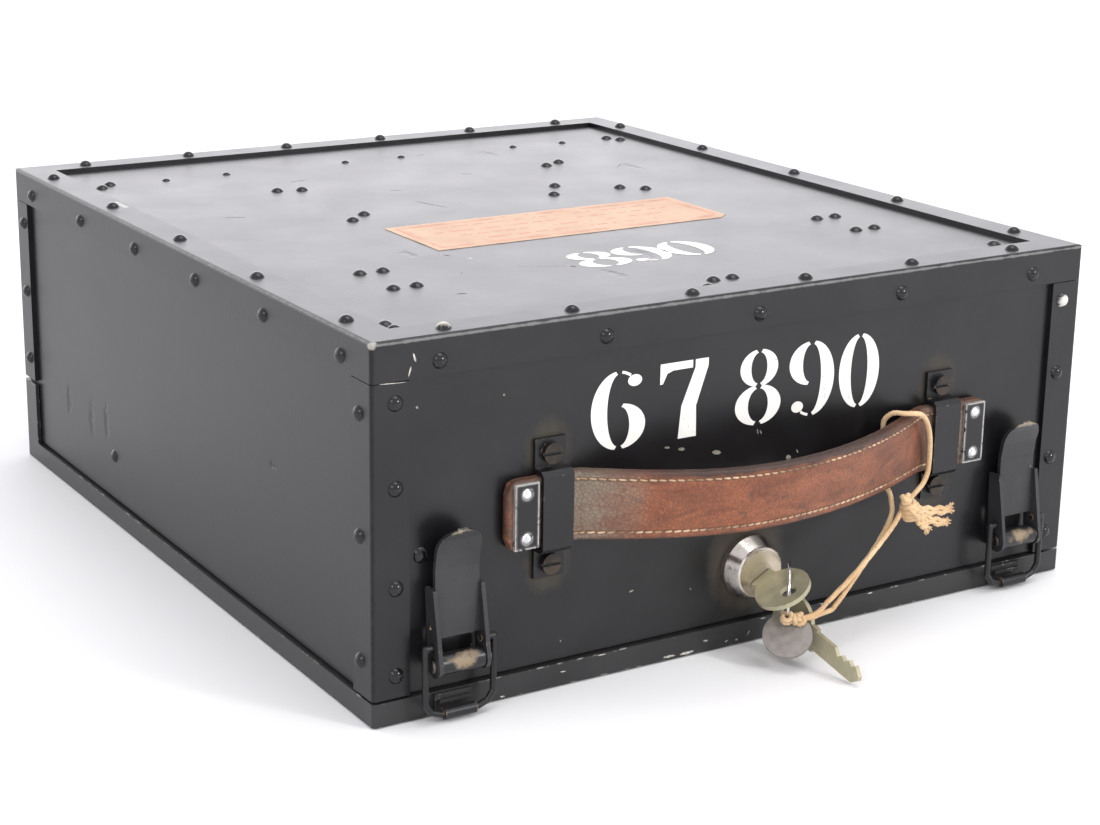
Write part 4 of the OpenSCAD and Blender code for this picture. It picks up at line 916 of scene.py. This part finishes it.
def makeRules(look):
    (x0, x1), (y0, y1) = look["x"], look["y"]
    bars = []
    for inset, width, share in look["frames"]:
        ax, bx, ay, by, cut = x0 + inset, x1 - inset, y0 + inset, y1 - inset, look["corner"] * share
        bars += [(ax, ay, bx - cut, ay + width), (ax, by - width, bx, by), (ax, ay, ax + width, by),
            (bx - width, ay + cut, bx, by)]
    for k, (a, b) in enumerate(look["rows"]):
        y = y1 - look["rowTop"] - k * look["rowStep"]
        x = x0 + a
        while x < x0 + b:
            run = 3 + 9 * random.random()
            bars.append((x, y - look["dash"], min(x + run, x0 + b), y + look["dash"]))
            x += run + 1.6 + 1.5 * random.random()
    return joinParts("label_rules", [inkBar(*bar, look) for bar in bars], False)


def makePaper():
    material, tree = newMaterial("salmon_paper", Specular_IOR_Level=0.3)
    fine = noise(tree, 700.0, 5.0, 0.7)
    colour = toned(tree, noise(tree, 45.0, 5.0, 0.6), 0.34, 0.66, (0.50, 0.335, 0.235), (0.56, 0.40, 0.29))
    colour = toned(tree, fine, 0.62, 0.72, colour, (0.44, 0.27, 0.18))
    colour = blendColor(tree, times(tree, wornEdge(tree, 0.002, 160.0, 0.55), 0.5), colour,
        (0.40, 0.30, 0.21))
    return coat(material, colour, spread(tree, fine, 0.3, 0.7, 0.66, 0.8), fine, 0.3)


redInk = {"grain": (520.0, 5.0, 0.7), "limits": (0.42, 0.62), "rough": (0.5, 0.62),
    "dark": (0.48, 0.15, 0.095), "light": (0.56, 0.26, 0.18), "Specular_IOR_Level": 0.3}
dress(makeLabel(labelLook), makePaper(), "hood")
dress(makeRules(labelLook), twoTone("faded_red_ink", **redInk), "hood")
print("label laid")

# the machine on the tray under the hood, in mm

insideLook = {"rows": ("QWERTZUIO", "ASDFGHJK", "PYXCVBNML"), "deckTop": 69.0, "windowFloor": 67.8,
    "windowReach": 6.6, "ringReach": 9.2, "lampStep": 105.0, "wheelAxis": (108.0, 74.0),
    "knob": (126.0, -30.0), "knobFoot": 70.4, "coverTop": 112.0, "coverRow": 88, "wheelStep": 20.0,
    "numberOff": 8.2, "numberSize": 7.0, "letter": 8.91, "lampLetter": 8.37, "dish": 16.0, "dishDeep": 1.2,
    "ink": 0.05, "rim": 42, "tooth": 34, "drum": 28.5, "hub": (22, 28), "ticks": (135, 90, 45),
    "tickAt": (16.4, 19.6), "tickHalf": 0.45}
letters = "".join(insideLook["rows"])
wheelY, wheelZ = insideLook["wheelAxis"]


def keyPlace(letter):
    low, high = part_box("key_" + letter.lower())
    return (low[0] + high[0]) / 2 / mm, (low[1] + high[1]) / 2 / mm, high[2] / mm


keyPlaces = {letter: keyPlace(letter) for letter in letters}
lampPlaces = {letter: (x, y + insideLook["lampStep"]) for letter, (x, y, top) in keyPlaces.items()}


def makeCrackle(name, dark, light, grain=1100.0):
    material, tree = newMaterial(name)
    cells = place(tree, "TexVoronoi", {"Vector": objectSpace(tree), "Scale": grain}, feature="SMOOTH_F1")
    tone, far = noise(tree, 70.0, 4.0), cells.outputs["Distance"]
    colour = toned(tree, far, 0.55, 0.9, toned(tree, tone, 0.35, 0.65, dark, light), dark)
    colour = blendColor(tree, wornEdge(tree, 0.0009, 300.0, 0.45), colour, (0.42, 0.41, 0.38))
    return coat(material, colour, spread(tree, tone, 0.3, 0.7, 0.36, 0.5), far, 0.55, 0.0004)


def makeIvory():
    material, tree = newMaterial("ivory_key_disc", Coat_Weight=0.4, Coat_Roughness=0.15)
    tone = noise(tree, 210.0, 4.0)
    colour = toned(tree, tone, 0.35, 0.65, (0.66, 0.60, 0.45), (0.80, 0.75, 0.61))
    colour = blendColor(tree, wornEdge(tree, 0.0012, 200.0, 0.7), colour, (0.36, 0.29, 0.18))
    return coat(material, colour, spread(tree, tone, 0.3, 0.7, 0.3, 0.45))


def scaled(colour, share):
    return tuple(c * share for c in colour)


def makeMoulded(name, colour, rough):
    material, tree = newMaterial(name, Coat_Weight=0.3, Coat_Roughness=0.2)
    tone = noise(tree, 160.0, 4.0)
    wear = wornEdge(tree, 0.0006, 380.0, 0.5)
    base = blendColor(tree, wear, blendColor(tree, tone, colour, scaled(colour, 1.8)), scaled(colour, 6))
    return coat(material, base, spread(tree, tone, 0.3, 0.7, rough * 0.8, rough * 1.2), tone, 0.2)


housingPaint = makePaint("machine_grey_enamel", paintLook, dark=(0.100, 0.109, 0.104),
    light=(0.124, 0.134, 0.129), rough=0.42, fine=900.0, bump=0.72, speckAmount=0.03)
crackle = makeCrackle("black_crackle", (0.014, 0.014, 0.015), (0.030, 0.030, 0.031))
coverCrackle = makeCrackle("cover_crackle", (0.012, 0.012, 0.013), (0.026, 0.026, 0.027), 900.0)
lampGlass = twoTone("milky_lamp_glass", (260.0, 3.0), (0.60, 0.55, 0.40), (0.78, 0.74, 0.60), (0.25, 0.4),
    Coat_Weight=0.6, Coat_Roughness=0.08)
ivory = makeIvory()
knobBlack = makeMoulded("black_moulding", (0.012, 0.011, 0.011), 0.28)
drumBrown = makeMoulded("brown_moulding", (0.060, 0.030, 0.018), 0.35)
markColours = {"mark_white": (0.82, 0.80, 0.74), "mark_black": (0.018, 0.017, 0.016),
    "mark_red": (0.42, 0.03, 0.02)}
markWhite, markBlack, markRed = (twoTone(name, (500.0, 4.0), scaled(colour, 0.8), colour, (0.45, 0.6))
    for name, colour in markColours.items())


def nearLamp(p, radius):
    return any(math.hypot(p.x - x, p.y - y) < radius for x, y in lampPlaces.values())


def isLampGlass(p, n, look=insideLook):
    return abs(p.z - look["windowFloor"]) < 0.4 and n.z > 0.9 and nearLamp(p, look["windowReach"])


def isLampRing(p, n, look=insideLook):
    return p.z > look["deckTop"] + 0.1 and nearLamp(p, look["ringReach"])


def paintKey(letter):
    top = keyPlaces[letter][2]
    paintBy("key_" + letter.lower(), groundSteel, (ivory, lambda p, n: p.z > top - 1.3 and n.z > 0.85),
        (nickel, lambda p, n: p.z > top - 6))


def paintWheel(i, look=insideLook):
    marked = math.radians(90 + (i * 7 % 5 - 2) * 360 / 26)

    def away(p):
        return math.hypot(p.y - wheelY, p.z - wheelZ)

    def isMarkedTooth(p, n):
        turn = math.atan2(p.z - wheelZ, p.y - wheelY) - marked
        return away(p) > look["rim"] and abs(math.sin(turn / 2)) < 0.07

    paintBy("wheel_%02d" % (i + 1), groundSteel, (markRed, isMarkedTooth),
        (wheelBrass, lambda p, n: away(p) > look["tooth"]),
        (drumBrown, lambda p, n: away(p) > look["drum"]),
        (wheelBrass, lambda p, n: look["hub"][0] < away(p) < look["hub"][1]))


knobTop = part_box("selector_knob")[1][2] / mm
paintBy("machine_housing", housingPaint)
paintBy("deck_plate", crackle, (lampGlass, isLampGlass), (nickel, isLampRing))
paintBy("wheel_cover", coverCrackle)
paintBy("selector_knob", knobBlack, (markWhite, lambda p, n: p.z > knobTop - 0.2 and n.z > 0.9),
    (groundSteel, lambda p, n: p.z < insideLook["knobFoot"]))
for letter in letters:
    paintKey(letter)
for i in range(10):
    paintWheel(i)
print("machine painted")

# letters and numbers on the machine


def letterMesh(text, size, fine=9):
    curve = bpy.data.curves.new("legend", "FONT")
    curve.body, curve.size = text, size
    curve.align_x, curve.align_y = "CENTER", "CENTER"
    holder = linkNew("legend", curve)
    mesh = bpy.data.meshes.new_from_object(holder.evaluated_get(bpy.context.evaluated_depsgraph_get()))
    bpy.data.objects.remove(holder)
    bpy.data.curves.remove(curve)
    work = bmesh.new()
    work.from_mesh(mesh)
    for again in range(3):
        bmesh.ops.triangulate(work, faces=work.faces)
        long = [edge for edge in work.edges if edge.calc_length() > fine]
        if long:
            bmesh.ops.subdivide_edges(work, edges=long, cuts=1)
    bmesh.ops.triangulate(work, faces=work.faces)
    points = [v.co.copy() for v in work.verts]
    faces = [tuple(v.index for v in f.verts) for f in work.faces]
    work.free()
    bpy.data.meshes.remove(mesh)
    return points, faces


def onFlat(text, size, x, y, z):
    points, faces = letterMesh(text, size)
    return [Vector((x + p.x, y + p.y, z)) * mm for p in points], faces


def makeLegend(letter, look):
    x, y, top = keyPlaces[letter]
    points, faces = letterMesh(letter, look["letter"], 1.1)
    dish, low = look["dish"], top - look["dishDeep"]
    curved = [Vector((x + p.x, y + p.y, low + dish - math.sqrt(dish ** 2 - p.x ** 2 - p.y ** 2)
        + look["ink"])) * mm for p in points]
    return upward(addMesh("legend_" + letter.lower(), curved, faces))


def makeTicks(look):
    knob = Vector((*look["knob"], look["deckTop"] + look["ink"]))
    (near, far), half = look["tickAt"], look["tickHalf"]
    ticks = []
    for turn in look["ticks"]:
        a = math.radians(turn)
        ahead, side = Vector((math.cos(a), math.sin(a), 0)), Vector((-math.sin(a), math.cos(a), 0))
        tick = [(knob + ahead * r + side * s) * mm
            for r, s in ((near, -half), (far, -half), (far, half), (near, half))]
        ticks.append((tick, [(0, 1, 2, 3)]))
    return ticks


for letter in letters:
    dress(makeLegend(letter, insideLook), markBlack, "key_" + letter.lower())
lampLetters = [onFlat(letter, insideLook["lampLetter"], x, y, insideLook["windowFloor"] + insideLook["ink"])
    for letter, (x, y) in lampPlaces.items()]
coverNumbers = [onFlat(str(i + 1), insideLook["numberSize"],
    (i - 4.5) * insideLook["wheelStep"] + insideLook["numberOff"], insideLook["coverRow"],
    insideLook["coverTop"] + insideLook["ink"]) for i in range(10)]
for name, parts, material, slot in (("lamp_letters", lampLetters, markBlack, "deck_paint"),
        ("cover_numbers", coverNumbers, markWhite, "cover_paint"),
        ("selector_ticks", makeTicks(insideLook), markWhite, "deck_paint")):
    dress(upward(addMesh(name, *gathered(parts))), material, "base")
print("legends set")

# floor and light

floorLook = {"half": 6, "z": -0.0006, "dark": (0.82, 0.82, 0.82), "light": (0.85, 0.85, 0.85)}
skyLook = {"base": 1.05, "band": 1.75, "tint": (1.0, 0.985, 1.025)}
lampList = [("soft_right", (0.75, -1.55, 0.85), (0.0, -0.1, 0.08), 0.3, 11.0),
    ("soft_left", (-1.4, -0.9, 1.1), (0.0, 0.0, 0.05), 0.8, 5.0),
    ("soft_above", (0.2, -0.3, 1.6), (0.0, 0.0, 0.1), 1.1, 8.0)]


def makeFloor(look):
    half = look["half"]
    floor = addMesh("floor", [(x, y, look["z"])
        for x, y in ((-half, -half), (half, -half), (half, half), (-half, half))], [(0, 1, 2, 3)])
    material, tree = newMaterial("pale_floor")
    floor.data.materials.append(coat(material,
        blendColor(tree, noise(tree, 3.0, 2.0), look["dark"], look["light"]), 0.9))


def makeSky(look):
    scene.world = bpy.data.worlds.new("studio")
    scene.world.use_nodes = True
    tree = scene.world.node_tree
    tree.nodes.clear()
    split = place(tree, "SeparateXYZ", {"Vector": place(tree, "TexCoord").outputs["Generated"]}).outputs
    band = times(tree, spread(tree, split["Y"], 0.1, 0.8), spread(tree, split["Z"], 0.75, 0.35))
    power = plus(tree, times(tree, band, look["band"]), look["base"])
    glow = place(tree, "Background", {"Color": look["tint"] + (1,), "Strength": power})
    place(tree, "OutputWorld", {0: glow.outputs[0]})


def makeLamps(lamps):
    for name, at, aim, size, power in lamps:
        data = bpy.data.lights.new(name, "AREA")
        data.shape = "DISK"
        data.size, data.energy = size, power
        lamp = linkNew(name, data)
        lamp.location = at
        lamp.rotation_euler = (Vector(aim) - Vector(at)).to_track_quat("-Z", "Y").to_euler()


makeFloor(floorLook)
makeSky(skyLook)
makeLamps(lampList)
print("light set")
